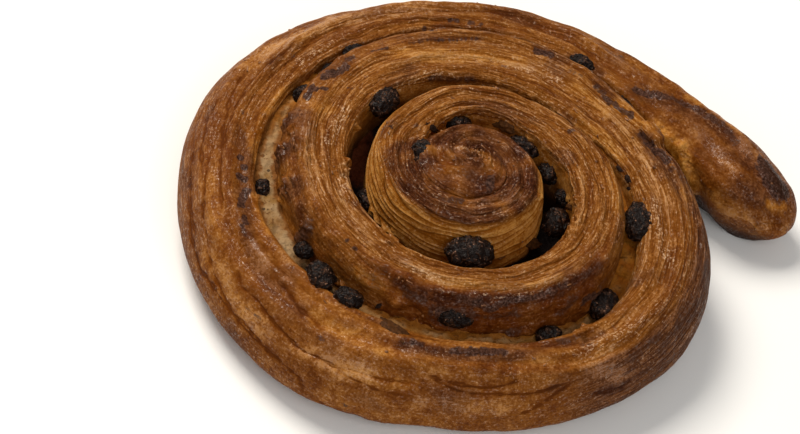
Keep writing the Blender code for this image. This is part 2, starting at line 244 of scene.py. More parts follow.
# how deep a brown each stretch takes; on the ring's near outer side it is partly painted shade
DEEPENED = {
    "burnt flank": 0.9, "front": 0.45, "furrow": 0.6, "bun top": 0.9, "tail": 0.6, "left ring": 0.3,
    "bands": 0.6, "browned": 1.0, "left flank": 0.35,
}
# how strongly the layer edges show, by the turn of the inner groove: the front and the tail are smooth
GRAIN = through(
    (-2.25, 0.3), (-1, 0.4), (-0.5, 0.7), (0, 1), (1.2, 1), (1.35, 1), (1.48, 0.8), (1.56, 0.35),
    (1.7, 0.12), (1.86, 0.2), (1.95, 0.75), (2.15, 0.8), (2.25, 0.4), (2.3, 0.06), (2.362, 0.04),
)
# the swirl's eye lies this far from the spiral's, and its coils are pressed together across this direction
SWIRL_SHIFT = (0.3, 3.3)
SWIRL_REACH = 13.0
SWIRL_LEAN = math.radians(-36)
SWIRL_PRESS = 0.45

# each raisin: turn, mm out from the groove's middle, height, length, width, thickness, heading in degrees
RAISINS = (
    (-0.064, -0.6, 31.2, 7.2, 5.4, 4.6, 10),
    (0.112, 1.4, 27.0, 6.6, 4.6, 4.2, 0),
    (0.252, 1.4, 25.2, 7.8, 5.6, 5.0, 15),
    (0.313, 2.4, 22.5, 6.0, 5.4, 5.0, -20),
    (0.361, 3.3, 20.8, 5.2, 4.6, 4.4, 30),
    (0.417, 0.3, 20.5, 8.0, 6.6, 5.6, 0),
    (0.641, -1.3, 25.5, 11.4, 7.8, 7.0, 4),
    (0.887, -2.6, 17.8, 6.4, 4.6, 4.4, 10),
    (1.020, 0.9, 27.4, 9.4, 6.2, 5.4, 20),
    (1.397, 2.2, 22.2, 11.4, 7.8, 6.6, -6),
    (1.497, -0.1, 18.8, 8.8, 6.6, 5.4, 12),
    (1.562, 0.3, 18.4, 6.4, 4.6, 4.2, -10),
    (1.652, -3.0, 20.8, 8.4, 5.2, 4.8, 0),
    (1.748, 2.0, 20.2, 7.2, 5.4, 4.8, 25),
    (1.780, 1.6, 20.5, 8.4, 6.8, 5.6, -15),
    (1.812, -1.0, 19.8, 5.0, 3.8, 3.6, 30),
    (1.886, 0.9, 18.9, 5.0, 4.0, 3.8, 0),
    (1.984, -1.2, 22.5, 5.8, 4.6, 4.2, 0),
    (2.017, -1.4, 23.0, 6.2, 4.2, 4.0, 8),
    (2.044, 0.4, 23.8, 5.6, 3.6, 3.6, 0),
    (2.225, 2.4, 24.0, 6.8, 4.0, 3.6, 4),
    (2.270, -0.5, 21.8, 7.2, 4.8, 4.2, -8),
)

# the camera: its height angle and roll, its distance from the spiral's eye, and the picture's scale there
CAMERA_RISE = math.radians(48.1)
CAMERA_ROLL = math.radians(13.3)
CAMERA_DISTANCE = 0.65
PIXELS_PER_METRE = 4350.0
PIXELS_PER_MM = PIXELS_PER_METRE * MM
EYE_PIXEL = (453, 261)
PICTURE = (800, 434)
SENSOR = 36.0

# how soft the edges of the zones below are, as a share of half their width
PATCH_EDGE = 0.45
TOAST_EDGE = 0.8
GOLD_EDGE = 0.7
BROWN_EDGE = 0.9
GLOSS_EDGE = 0.8
SADDLE_EDGE = 0.3
CRAG_EDGE = 0.4
RUST_EDGE = 0.5
ZONE_STEP = 4  # pixels between two places along a zone
# dark patches on the dough: from pixel, to pixel, half their width in mm, and how dark
PATCHES = (
    (326, 75, 344, 67, 1.5, 0.9), (342, 66, 352, 56, 0.9, 0.7), (306, 95, 311, 88, 1.3, 0.9),
    (323, 87, 324, 88, 0.8, 0.9), (280, 130, 290, 118, 1.9, 0.5), (275, 158, 286, 147, 1.9, 0.55),
    (280, 188, 292, 182, 1.5, 0.45), (298, 244, 308, 226, 1.8, 0.6), (241, 158, 243, 167, 0.9, 1.2),
    (240, 175, 243, 178, 0.9, 1.2), (242, 204, 245, 190, 1.1, 1.3), (245, 216, 246, 221, 0.9, 1.0),
    (243, 224, 244, 234, 0.8, 0.7), (245, 139, 248, 146, 0.7, 0.4), (346, 242, 354, 248, 0.7, 0.8),
    (328, 218, 331, 222, 0.6, 0.5), (313, 203, 316, 208, 0.5, 0.6), (348, 87, 350, 88, 0.5, 0.7),
    (372, 48, 386, 45, 0.8, 0.8), (410, 41, 440, 38, 0.6, 0.6), (440, 38, 476, 37, 0.6, 0.7),
    (487, 190, 489, 184, 1.2, 0.95), (440, 198, 462, 200, 0.9, 0.6), (430, 214, 480, 220, 1.4, 0.45),
    (492, 150, 502, 158, 1.1, 0.45), (455, 176, 470, 184, 1.3, 0.45), (422, 166, 428, 176, 1.2, 0.4),
    (415, 124, 418, 126, 0.7, 0.6), (392, 127, 393, 128, 0.5, 0.8), (390, 134, 391, 136, 0.5, 0.6),
    (568, 131, 574, 130, 0.8, 0.7), (404, 292, 424, 302, 1.4, 0.6), (436, 312, 470, 318, 2.0, 0.7),
    (478, 305, 486, 309, 1.3, 0.8), (491, 309, 520, 299, 1.0, 0.8), (520, 299, 566, 287, 0.9, 0.75),
    (566, 287, 606, 262, 0.9, 0.5), (470, 312, 560, 303, 2.0, 0.35), (455, 350, 502, 350, 1.1, 0.75),
    (414, 341, 422, 344, 0.9, 0.8), (560, 341, 575, 336, 1.0, 0.6), (583, 343, 596, 340, 0.8, 0.5),
    (535, 50, 551, 54, 1.0, 0.85), (575, 60, 588, 63, 1.0, 0.85), (570, 70, 580, 76, 0.8, 0.5),
    (598, 86, 608, 97, 1.0, 0.7), (608, 97, 632, 116, 1.0, 0.75), (641, 134, 652, 146, 1.0, 0.85),
    (652, 146, 668, 160, 1.2, 0.85), (668, 160, 672, 168, 0.9, 0.7), (637, 90, 662, 95, 1.3, 0.85),
    (662, 95, 698, 108, 1.1, 0.7), (700, 110, 722, 124, 1.3, 0.65), (722, 124, 736, 141, 1.2, 0.6),
    (769, 168, 783, 190, 2.5, 1.7), (762, 158, 770, 170, 1.3, 1.0), (618, 403, 640, 388, 1.8, 0.5),
    (640, 388, 664, 366, 2.6, 0.5), (664, 366, 682, 335, 2.9, 0.5), (682, 335, 694, 302, 2.6, 0.5),
    (694, 302, 700, 262, 1.8, 0.4), (715, 233, 742, 238, 1.2, 0.8), (584, 302, 597, 294, 1.2, 0.9),
    (738, 236, 772, 238, 0.8, 0.5), (420, 12, 424, 13, 0.6, 0.5), (450, 19, 457, 20, 0.8, 0.75),
    (470, 22, 480, 24, 0.8, 0.7), (425, 28, 432, 29, 0.8, 0.65), (480, 30, 500, 33, 0.7, 0.4),
    (430, 80, 474, 82, 0.8, 0.5),
)
# purple-brown toasted stretches, written as the patches are
TOASTED = (
    (396, 286, 440, 300, 1.7, 0.8), (440, 300, 500, 302, 1.7, 0.9), (500, 302, 560, 291, 1.6, 0.9),
    (560, 290, 606, 264, 1.6, 0.8), (606, 262, 622, 236, 1.6, 0.5), (404, 344, 455, 356, 2.0, 0.8),
    (455, 356, 520, 352, 1.8, 0.8), (520, 352, 600, 334, 1.4, 0.5), (244, 130, 244, 190, 2.4, 0.6),
    (244, 190, 250, 250, 2.0, 0.7), (250, 250, 272, 290, 2.2, 0.6), (285, 305, 330, 340, 3.0, 0.5),
    (276, 136, 292, 116, 2.8, 0.9), (274, 162, 290, 146, 2.8, 0.9), (282, 196, 296, 184, 2.4, 0.8),
    (300, 210, 306, 246, 2.4, 0.7), (242, 150, 246, 206, 1.6, 0.6), (430, 80, 474, 82, 1.2, 0.8),
    (330, 355, 352, 365, 2.5, 0.4), (320, 70, 350, 60, 2.2, 0.5), (400, 36, 480, 34, 1.6, 0.5),
    (540, 46, 600, 70, 1.8, 0.7), (600, 80, 640, 118, 2.0, 0.6), (641, 134, 690, 200, 2.0, 0.8),
    (690, 200, 704, 240, 1.8, 0.6), (440, 8, 560, 12, 2.0, 0.3), (637, 92, 700, 112, 2.6, 0.7),
    (700, 112, 748, 150, 2.4, 0.8), (720, 150, 746, 160, 2.5, 0.6), (742, 188, 775, 200, 3.6, 0.8),
    (748, 158, 780, 188, 3.0, 0.9), (700, 150, 720, 165, 1.6, 0.5), (604, 403, 650, 372, 2.4, 0.8),
    (650, 372, 690, 300, 2.6, 0.9), (690, 300, 704, 250, 2.0, 0.7), (560, 20, 610, 40, 2.0, 0.4),
    (200, 200, 196, 250, 2.5, 0.4), (640, 60, 680, 76, 1.5, 0.3), (430, 205, 500, 214, 2.0, 0.8),
    (540, 150, 552, 186, 1.2, 0.7),
)
# golden stretches, less browned
GOLDEN = (
    (619, 102, 657, 131, 1.8, 0.8), (657, 131, 679, 152, 2.0, 1.0), (679, 152, 694, 196, 2.6, 1.1),
    (360, 276, 392, 296, 2.0, 0.9), (425, 341, 470, 344, 0.8, 0.6), (470, 344, 520, 344, 0.8, 0.4),
    (606, 262, 624, 246, 1.6, 0.7), (420, 279, 490, 288, 1.2, 0.4), (490, 288, 560, 277, 1.2, 0.4),
    (268, 110, 286, 90, 1.2, 0.8), (246, 128, 254, 150, 1.0, 0.6), (262, 118, 256, 160, 0.8, 0.8),
    (340, 372, 410, 388, 1.8, 0.5), (520, 366, 600, 346, 1.6, 0.4), (770, 204, 781, 208, 1.1, 1.0),
    (682, 82, 740, 131, 1.0, 0.6), (430, 148, 446, 172, 1.6, 0.7), (452, 152, 484, 163, 0.8, 0.7),
    (312, 318, 400, 354, 1.6, 0.6), (400, 354, 470, 368, 1.6, 0.5), (208, 260, 240, 312, 3.0, 0.4),
    (205, 150, 214, 240, 2.4, 0.4), (250, 60, 300, 36, 3.0, 0.4), (400, 52, 520, 56, 2.0, 0.5),
    (610, 150, 622, 210, 1.6, 0.6), (470, 400, 520, 404, 3.0, 0.3), (430, 425, 330, 395, 3.0, 0.3),
    (690, 96, 704, 104, 1.2, 0.6), (575, 85, 604, 110, 1.8, 0.5), (386, 118, 379, 170, 2.2, 0.7),
    (379, 170, 392, 205, 2.2, 0.7), (392, 205, 430, 228, 1.6, 0.6), (271, 172, 277, 180, 1.2, 0.7),
    (282, 204, 294, 246, 1.6, 0.8), (256, 196, 268, 232, 1.0, 0.7), (300, 100, 330, 108, 1.5, 0.4),
    (576, 112, 618, 160, 1.6, 0.6), (632, 190, 622, 250, 1.4, 0.5),
)
# paler tan crust where it stands high, with a painted highlight over those crests
TAN_AND_HIGHLIGHTS = (
    (326, 362, 366, 376, 2.4, 0.9), (244, 316, 268, 332, 2.0, 0.7), (222, 268, 232, 300, 1.4, 0.7),
    (290, 345, 322, 356, 1.8, 0.6), (197, 190, 203, 250, 1.8, 0.3), (250, 244, 262, 264, 1.2, 0.7),
    (404, 262, 440, 280, 1.2, 0.5), (440, 280, 540, 284, 1.2, 0.3), (540, 284, 596, 250, 1.2, 0.4),
    (352, 140, 344, 200, 1.4, 0.6), (304, 130, 316, 190, 1.4, 0.6), (344, 200, 372, 240, 1.2, 0.5),
    (210, 130, 226, 100, 1.8, 0.3), (262, 52, 330, 18, 2.0, 0.8), (330, 18, 430, 8, 1.6, 0.7),
    (408, 52, 560, 66, 1.4, 0.5), (600, 100, 640, 150, 1.4, 0.5), (640, 150, 668, 210, 1.4, 0.5),
    (596, 366, 618, 376, 1.8, 0.8), (420, 404, 500, 410, 1.8, 0.5), (596, 356, 622, 352, 1.4, 0.5),
    (716, 80, 742, 100, 1.6, 0.6), (696, 128, 716, 146, 1.6, 0.5), (716, 150, 734, 168, 1.8, 0.6),
    (436, 150, 470, 158, 1.0, 0.5), (470, 206, 520, 196, 1.0, 0.5), (730, 214, 762, 226, 1.6, 0.5),
    (741, 141, 756, 156, 1.5, 0.9), (712, 112, 740, 132, 1.0, 0.6),
)
# deeper orange-brown stretches
BROWNED = (
    (495, 12, 572, 36, 2.4, 0.8), (436, 26, 500, 28, 1.6, 0.7), (600, 60, 660, 84, 2.0, 0.6),
    (216, 110, 204, 170, 1.8, 0.8), (232, 100, 214, 200, 1.2, 0.7), (228, 150, 226, 230, 1.2, 0.8),
    (300, 44, 370, 22, 1.6, 0.7), (208, 260, 240, 320, 1.2, 0.6), (250, 290, 300, 345, 1.2, 0.5),
    (424, 394, 520, 400, 2.0, 0.7), (430, 382, 500, 388, 1.2, 0.6), (376, 338, 440, 349, 1.7, 0.8),
    (526, 343, 588, 345, 1.7, 0.9), (520, 353, 580, 354, 1.4, 0.6), (400, 356, 436, 360, 1.2, 0.6),
    (436, 343, 530, 344, 0.8, 0.7), (436, 366, 560, 367, 1.4, 0.7), (672, 250, 664, 320, 1.2, 0.6),
    (392, 130, 384, 190, 1.0, 0.6), (430, 320, 560, 318, 1.6, 0.6), (292, 160, 300, 220, 1.4, 0.8),
    (310, 250, 350, 278, 2.0, 0.6), (570, 120, 620, 170, 1.0, 0.6), (700, 130, 740, 170, 3.4, 0.7),
    (640, 105, 690, 130, 1.6, 0.7), (700, 190, 740, 216, 2.2, 0.5),
)
# the shallow saddle that joins the tail to the ring, and how far it rises, in mm
SADDLE = ((648, 128, 676, 152, 1.8, 1.0), (676, 152, 692, 184, 2.2, 1.0))
SADDLE_RISE = 1.3
# red-brown cream low in the bun's groove
RUSTY = ((357, 130, 359, 172, 2.8, 1.0),)
# glossy ridges that catch the light: they take more of the glaze coat, and painted highlight specks in the
# colour
GLOSS_AND_HIGHLIGHTS = (
    (450, 152, 484, 163, 0.6, 0.6), (484, 163, 500, 176, 0.6, 0.5), (541, 150, 552, 176, 0.6, 0.8),
    (552, 176, 549, 196, 0.6, 0.8), (500, 216, 540, 200, 0.6, 0.4), (418, 140, 430, 132, 0.6, 0.6),
    (440, 291, 500, 297, 0.4, 0.8), (500, 297, 560, 286, 0.4, 0.8), (560, 286, 604, 256, 0.4, 0.5),
    (346, 108, 330, 140, 1.2, 0.6), (352, 150, 344, 190, 1.1, 0.6), (404, 262, 440, 280, 0.9, 0.6),
    (400, 88, 440, 74, 1.2, 0.5), (404, 344, 452, 352, 0.8, 0.4), (580, 350, 640, 320, 1.4, 0.6),
    (655, 200, 668, 260, 1.4, 0.6), (690, 106, 720, 130, 0.6, 0.5), (510, 66, 560, 80, 1.2, 0.5),
    (300, 60, 330, 40, 1.2, 0.5), (610, 350, 660, 300, 1.2, 0.4),
)
# long cracks in the ring's crust, from pixel to pixel
CRACKS = (
    ((204, 245), (214, 276), (234, 316), (251, 337), (276, 357), (297, 377), (306, 395)),
    ((236, 268), (241, 287), (257, 300), (271, 320), (288, 337), (303, 351), (328, 363), (352, 380),
     (374, 389), (412, 396)),
    ((219, 288), (230, 311), (242, 322), (263, 346), (276, 360)),
    ((276, 277), (290, 297), (297, 308), (308, 316), (328, 330)),
    ((420, 372), (449, 387), (468, 393), (502, 395), (535, 393), (573, 381)),
    ((424, 374), (439, 379), (466, 386), (493, 388), (512, 383), (520, 379)),
    ((510, 418), (533, 410), (554, 395), (579, 378)),
    ((579, 395), (604, 393), (621, 387), (636, 376)),
    ((306, 395), (330, 410), (360, 420), (400, 426)),
    ((188, 190), (190, 236), (200, 270), (222, 300), (246, 334)),
    ((214, 140), (204, 176), (202, 216), (208, 244)),
    ((258, 78), (238, 100), (226, 128), (220, 160)),
    ((300, 40), (272, 60), (254, 84)),
    ((196, 130), (190, 170), (190, 210), (196, 240)),
    ((222, 90), (206, 120), (200, 150), (202, 200)),
    ((250, 62), (230, 96), (222, 130), (219, 180), (222, 220)),
    ((340, 368), (380, 378), (420, 384)),
)
# each crack and the furrow that it lies in, in mm, and how far they wander, in pixels
CRACK_DEPTH = 0.24
CRACK_WIDTH = 0.24
FURROW_DEPTH = 0.13
FURROW_WIDTH = 0.95
CRACK_WANDER = 2.2
WANDER_STEP = 9
# crags that stand out from the lips, written as the patches are
CRAGS = (
    (342, 171, 355, 152, 1.3, 1.0), (356, 131, 357, 127, 0.8, 1.0), (370, 213, 396, 239, 1.2, 0.8),
    (565, 212, 576, 200, 1.4, 1.0), (569, 232, 576, 218, 1.3, 1.0), (290, 128, 300, 150, 1.6, 0.8),
    (262, 150, 258, 200, 1.0, 0.6), (330, 278, 370, 310, 1.0, 0.8), (531, 192, 543, 198, 1.0, 0.8),
    (580, 330, 600, 310, 1.2, 0.8), (610, 210, 632, 240, 1.0, 0.5), (279, 130, 288, 118, 2.0, 0.8),
    (274, 158, 282, 147, 2.0, 0.8), (280, 192, 287, 182, 1.8, 0.8), (298, 244, 305, 226, 1.6, 0.7),
)
# thin films that blistered out of the grooves: pixel, half length and half width in mm, heading in degrees
BLISTERS = {
    "brown_film": (
        (477, 119, 2.8, 1.3, -10), (503, 126, 2.8, 1.5, -25), (396, 329, 4.2, 1.9, -32),
        (590, 322, 1.9, 1.6, 60), (532, 244, 3.0, 1.5, 10), (571, 206, 1.3, 1.0, 20),
    ),
    "burnt_film": (
        (372, 312, 2.2, 0.8, 10), (379, 307, 0.9, 0.5, 60), (618, 168, 1.0, 0.6, -50),
        (627, 177, 1.1, 0.8, -60), (628, 188, 0.7, 0.5, 0), (433, 127, 1.6, 1.0, 0),
    ),
    "golden_film": ((632, 246, 1.1, 0.8, 30), (569, 196, 1.2, 0.9, 60)),
}
BLISTER_RISE = 0.4
BLISTER_LEVEL = (0, 0, 0.6)  # how far a film lies level instead of along the dough
FILM_HEIGHT = 1.2  # half the width in mm past which a film rises no more

# how a raisin is wrinkled: the name of each pattern, its size in metres and how deep it goes
WRINKLES = (("raisin folds", 0.0022, 0.0008), ("raisin wrinkles", 0.00085, 0.0004))
WRINKLE_LEVEL = 0.35
RAISIN_SHARE = 0.49  # of its length and width, because the wrinkles stand out from it
RAISIN_HEEL = 12  # how far raisins lean to either side, in degrees

# the colours of the bake, as red, green and blue, with a painted shade for the grooves and a pale painted
# highlight
CRUST = {
    "dark": (0.125, 0.033, 0.002), "brown": (0.215, 0.071, 0.009), "tan": (0.45, 0.21, 0.065),
    "blotch": (0.155, 0.041, 0.003), "gold": (0.25, 0.074, 0.004), "light gold": (0.53, 0.24, 0.05),
    "toast": (0.045, 0.012, 0.003), "light toast": (0.21, 0.078, 0.027), "deep": (0.50, 0.36, 0.24),
    "painted_glint": (0.60, 0.37, 0.19), "char": (0.016, 0.006, 0.0035), "light char": (0.082, 0.034, 0.020),
    "shade": (0.024, 0.008, 0.003), "flake": (0.10, 0.03, 0.005), "light flake": (0.28, 0.11, 0.03),
}
CREAM = {
    "dull": (0.22, 0.108, 0.028), "pale": (0.325, 0.205, 0.10), "speck": (0.03, 0.015, 0.007),
    "pore": (0.10, 0.032, 0.006),
}
CREAM_STAINS = {"burn": (0.17, 0.055, 0.007), "warm": (0.40, 0.135, 0.010), "blotched": (0.31, 0.088, 0.007)}
# painted shade deep in the bun's groove, and the red-brown of rusty cream
CREAM_SHADE_AND_RUST = {"dark": (0.010, 0.005, 0.004), "rusty": (0.10, 0.022, 0.006)}
SKIN = {"black": (0.0050, 0.0017, 0.0008), "brown": (0.050, 0.020, 0.009), "glint": (0.30, 0.15, 0.09)}
FILMS = {
    "brown_film": (0.075, 0.028, 0.008), "burnt_film": (0.022, 0.010, 0.006),
    "golden_film": (0.32, 0.145, 0.035),
}
FILM_DIM = 0.45

# the studio: each soft light's place and size in metres, its power and its colour
LIGHTS = {
    "key": ((-0.42, 0.38, 0.8), 0.45, 10.6, (1, 0.95, 0.87)),
    "fill": ((0.25, -0.7, 0.65), 0.8, 4.5, (1, 1, 1)),
}
SKY = (1, 0.985, 0.96, 1)
SKY_STRENGTH = 0.28
FLOOR = (0.85, 0.84, 0.82, 1)
FLOOR_SIZE = 6.0


def angle_of(turn):
    """The direction from the eye in which a turn of the groove lies, in radians."""
    return np.radians(START_ANGLE - 360.0 * np.asarray(turn, float))


def groove(turn):
    """Radius of the groove's middle, and before it opens that of the swirl, which winds in to the eye."""
    turn = np.asarray(turn, float)
    open_part = START_RADIUS + PITCH * turn + STRAY(turn)
    swirl_part = (START_RADIUS + STRAY(0)) * np.clip(1 + turn / SWIRL_TURNS, 0, 1)
    return np.where(turn < 0, swirl_part, open_part)


def inner_wall(turn):
    """Radius of the dough's inner wall, which faces the eye."""
    side = groove(turn) + GAP(turn) / 2
    return np.where(turn > TAIL_START, TAIL_SIDE(turn) + GAP(TAIL_START) / 2, side)


def outer_wall(turn):
    """Radius of the dough's outer wall at this turn of the groove outside it."""
    side = groove(turn) - GAP(turn) / 2
    blend = np.clip((turn - NOTCH_TURN) / NOTCH_BLEND, 0, 1)
    return np.where(turn < NOTCH_TURN, side, (1 - blend) * side + blend * RIM(turn))


def ease(low, high, value):
    """0 below low, 1 above high, and smooth between; the other way round where low is above high."""
    share = np.clip((value - low) / (high - low), 0, 1)
    return share * share * (3 - 2 * share)


def within(value, start, full, fading, end):
    """1 from full to fading, 0 before start and after end, and smooth between."""
    return ease(start, full, value) * ease(end, fading, value)


def strongest(*shares):
    """The greatest of several shares at each point."""
    return functools.reduce(np.maximum, shares)


def tip(turn):
    """1 along the dough, and less towards the tail's end, where it closes in a dome."""
    share = np.clip((turn - (END_TURN - TIP_TURNS)) / TIP_TURNS, 0, 1)
    dome = np.clip((turn - END_TURN) / DOME_TURNS, 0, 1)
    return np.sqrt(1 - TIP_ROUND * share**2) * np.sqrt(1 - dome**2)


def ridges(turn, across):
    """The height of the broad ridges, which run along the coils and drift slowly across them."""
    drift = 0.35 * np.sin(2 * np.pi * 1.3 * turn) + 0.2 * np.sin(2 * np.pi * 3.1 * turn + 1)
    wave = np.sin(2 * np.pi * (RIDGES * across + drift))
    sway = np.sin(2 * np.pi * 7.3 * turn) * np.sin(2 * np.pi * (across + 2.2 * turn))
    return RIDGE_RISE * (wave + 0.7 * sway) * np.sqrt(np.clip(np.sin(np.pi * across), 0, 1))


def foot_of(turn, most, stretch):
    """How far a wall is drawn in at the base."""
    return np.minimum(WALL_FOOT, GAP(turn) / 4) + most * ease(*stretch, turn)


def swell(x, y, seed, size=256):
    """Smooth random heights from about -1 to 1, with swellings about one unit of x and y apart."""
    lean = np.random.default_rng(seed).uniform(0, 2 * np.pi, (size, size))
    i, j = np.floor(x).astype(int), np.floor(y).astype(int)
    fx, fy = x - i, y - j
    wx, wy = fx * fx * (3 - 2 * fx), fy * fy * (3 - 2 * fy)
    total = 0.0
    for a, part_x in ((0, 1 - wx), (1, wx)):
        for b, part_y in ((0, 1 - wy), (1, wy)):
            corner = lean[(i + a) % size, (j + b) % size]
            total = total + part_x * part_y * (np.cos(corner) * (fx - a) + np.sin(corner) * (fy - b))
    return 1.5 * total


def swells(x, y, *parts):
    """The sum of swells, each given by its height, the distances between two along x and y, and its seed."""
    return sum(height * swell(x / far_x, y / far_y, seed) for height, far_x, far_y, seed in parts)


def patches_of(x, y, low, high, far_x, far_y, seed):
    """1 where a swell of x and y stands above high, and 0 where it lies below low."""
    return ease(low, high, swell(x / far_x, y / far_y, seed))


def layered(phase):
    """The edges of stacked layers, side by side: each rises slowly and then drops, from -1 to 1."""
    share = phase - np.floor(phase)
    return 2 * np.minimum(share / LAYER_RISE, (1 - share) / (1 - LAYER_RISE)) - 1


def dough_turns():
    """Every section's turn: even in the swirl, whose coils share their edges, then by length."""
    first = -(1 + SWIRL_TURNS)
    turns = [first + k / SWIRL_STEPS for k in range(round(SWIRL_STEPS * (1 + SWIRL_TURNS)))] + [0.0]
    while turns[-1] < END_TURN:
        middle = float(inner_wall(turns[-1]) + outer_wall(turns[-1] + 1)) / 2
        step = COIL_STEP if turns[-1] < COIL_END else RING_STEP
        turns.append(min(turns[-1] + step / (2 * math.pi * middle), END_TURN))
    for k in range(1, DOME_SECTIONS + 1):
        turns.append(END_TURN + DOME_TURNS * math.sin(0.5 * math.pi * k / DOME_SECTIONS))
    return np.array(turns)


def top_of(turns):
    """Radius, height and share across the dough at each fine row from the inner to the outer edge."""
    near, far = inner_wall(turns), outer_wall(turns + 1)
    width = np.maximum(far - near, LEAST_WIDTH)
    open_edge = CREST(turns) - LIP_DROP(turns)
    opening = np.clip(turns / GROOVE_START, 0, 1)
    edge_in = np.where(turns < 0, TOE(turns), TOE(0) + (open_edge - TOE(0)) * opening)
    edge_out = TOE(turns + 1)
    edge = np.maximum(edge_in, edge_out)
    crest = edge + (CREST(turns) - edge) * np.minimum(width / THIN_STRIP, 1)
    lip = np.where(turns < 0, SWIRL_LIP, np.minimum(COIL_LIP, LIP_WIDTH / width))
    flank = FLANK(turns + 1)
    near, width, edge_in, edge_out, crest, lip, flank = (
        v[:, None] for v in (near, width, edge_in, edge_out, crest, lip, flank))
    share = np.linspace(0, 1, FINE_ROWS + 1)[None, :]
    bend = 0.5 * np.pi * share
    across = np.hstack((lip * (1 - np.cos(bend)), lip + (1 - lip - flank) * share[:, 1:],
                        1 - flank * (1 - np.sin(bend[:, 1:]))))
    height = np.hstack((edge_in + (crest - edge_in) * np.sin(bend), crest + 0 * share[:, 1:] + 0 * near,
                        edge_out + (crest - edge_out) * np.cos(bend[:, 1:])))
    relief = ridges(turns[:, None], across) * np.minimum(width / RIDGED_WIDTH, 1)
    relief[:, 0] = relief[:, -1] = 0
    return near + width * across, height + relief, across


def respaced(turns):
    """The top's rows, moved so that they lie evenly over it, and their length from the inner edge."""
    radius, height, across = top_of(turns)
    step = np.hypot(np.diff(radius, axis=1), np.diff(height, axis=1))
    length = np.hstack((np.zeros((len(turns), 1)), np.cumsum(step, axis=1)))
    wanted = np.linspace(0, 1, TOP_ROWS)
    out = []
    for r, z, a, s in zip(radius, height, across, length):
        at = wanted * s[-1]
        out.append((np.interp(at, s, r), np.interp(at, s, z), np.interp(at, s, a), at))
    return (np.array(part) for part in zip(*out))


def narrowed(turns, shrink):
    """How wide each section is left by the rounding of the tail's end."""
    narrow = TIP_WIDTH + (1 - TIP_WIDTH) * shrink
    end = tip(END_TURN)
    return np.where(turns[:, None] > END_TURN, (TIP_WIDTH + (1 - TIP_WIDTH) * end) * shrink / end, narrow)


def dough_grid():
    """The whole dough as a grid of sections by rows: its points and what its surface is like there."""
    turns = dough_turns()
    radius, height, across, length = respaced(turns)
    down = np.linspace(0, 1, WALL_ROWS + 1)[None, 1:]
    edge_in, edge_out = height[:, :1], height[:, -1:]
    foot_in = foot_of(turns, TAIL_FOOT, TAIL_LIFT)[:, None]
    foot_out = foot_of(turns + 1, RIM_FOOT, RIM_CURL)[:, None]
    up = down[:, ::-1]
    radius = np.hstack((radius[:, :1] + foot_in * up**2, radius, radius[:, -1:] - foot_out * down**2))
    length = np.hstack((-edge_in * up, length, length[:, -1:] + edge_out * down))
    height = np.hstack((edge_in * (1 - up), height, edge_out * (1 - down)))
    across = np.hstack((np.repeat(-up, len(turns), 0), across, np.repeat(1 + down, len(turns), 0)))
    shrink = tip(turns)[:, None]
    crest = CREST(turns)
    middle = (radius[:, FIRST_TOP] + radius[:, LAST_TOP])[:, None] / 2
    level = TIP_LEVEL * crest[:, None]
    radius = middle + (radius - middle) * narrowed(turns, shrink)
    height = level + (height - level) * shrink
    angle = angle_of(turns)[:, None]
    points = np.stack((EYE_X + radius * np.cos(angle), EYE_Y + radius * np.sin(angle), height), axis=2)
    step = np.linalg.norm(np.diff(points[:, (FIRST_TOP + LAST_TOP) // 2, :], axis=0), axis=1)
    along = np.concatenate(([0], np.cumsum(step)))[:, None] + 0 * radius
    return dict(turns=turns, points=points, across=across, length=length, along=along, shrink=shrink,
                crest=crest)


def swirl_pressed(points):
    """Moves the swirl's eye off the spiral's, and presses its coils together across their lean."""
    out = points.copy()
    x, y = points[..., 0] - EYE_X, points[..., 1] - EYE_Y
    near = np.clip(1 - (x * x + y * y) / SWIRL_REACH**2, 0, 1) ** 2
    across = y * math.cos(SWIRL_LEAN) - x * math.sin(SWIRL_LEAN)
    out[..., 0] += near * (SWIRL_SHIFT[0] + SWIRL_PRESS * across * math.sin(SWIRL_LEAN))
    out[..., 1] += near * (SWIRL_SHIFT[1] - SWIRL_PRESS * across * math.cos(SWIRL_LEAN))
    return out


def normals_of(points):
    """Outward normals of a grid of points."""
    along = np.gradient(points, axis=0)
    over = np.gradient(points, axis=1)
    normal = np.cross(along, over)
    return normal / np.maximum(np.linalg.norm(normal, axis=2, keepdims=True), NEARLY_ZERO)


def flank_between(grid, turns):
    """1 on the dough's outer side along a stretch of its turns."""
    return within(grid["across"], *OUTER_SIDE) * within(grid["turns"][:, None], *turns)


def left_flank(grid):
    """1 on the inner coil's outer flank at the left, which is smooth and glazed between its burnt lobes."""
    return flank_between(grid, LEFT_FLANK)


def burnt_flank(grid):
    """1 on the near outer flank of the first open coil, which is burnt and bumpy."""
    return flank_between(grid, BURNT_FLANK)


def bun_flank(grid):
    """1 on the bun's outer flank, below its browned top."""
    turns, depth = grid["turns"][:, None], grid["crest"][:, None] - grid["points"][..., 2]
    return within(turns, *BUN_FLANK) * ease(0.55, 0.8, grid["across"]) * ease(1, 3, depth)


def sandy_band(grid):
    """1 on the ring's outer half at the back left, where the crust is smooth and sandy."""
    return ease(0.4, 0.6, grid["across"]) * within(grid["turns"][:, None], *SANDY_BAND)


def grain_of(grid):
    """How strongly the layers' edges show: less down in the grooves and wherever the crust is smooth."""
    smooth = 1.0
    for stretch, less in ((burnt_flank, 0.75), (bun_flank, 0.45), (left_flank, 0.7), (sandy_band, 0.6)):
        smooth = smooth * (1 - less * stretch(grid))
    return GRAIN(grid["turns"])[:, None] * np.where(grid["across"] < 0, WALL_GRAIN, 1.0) * smooth


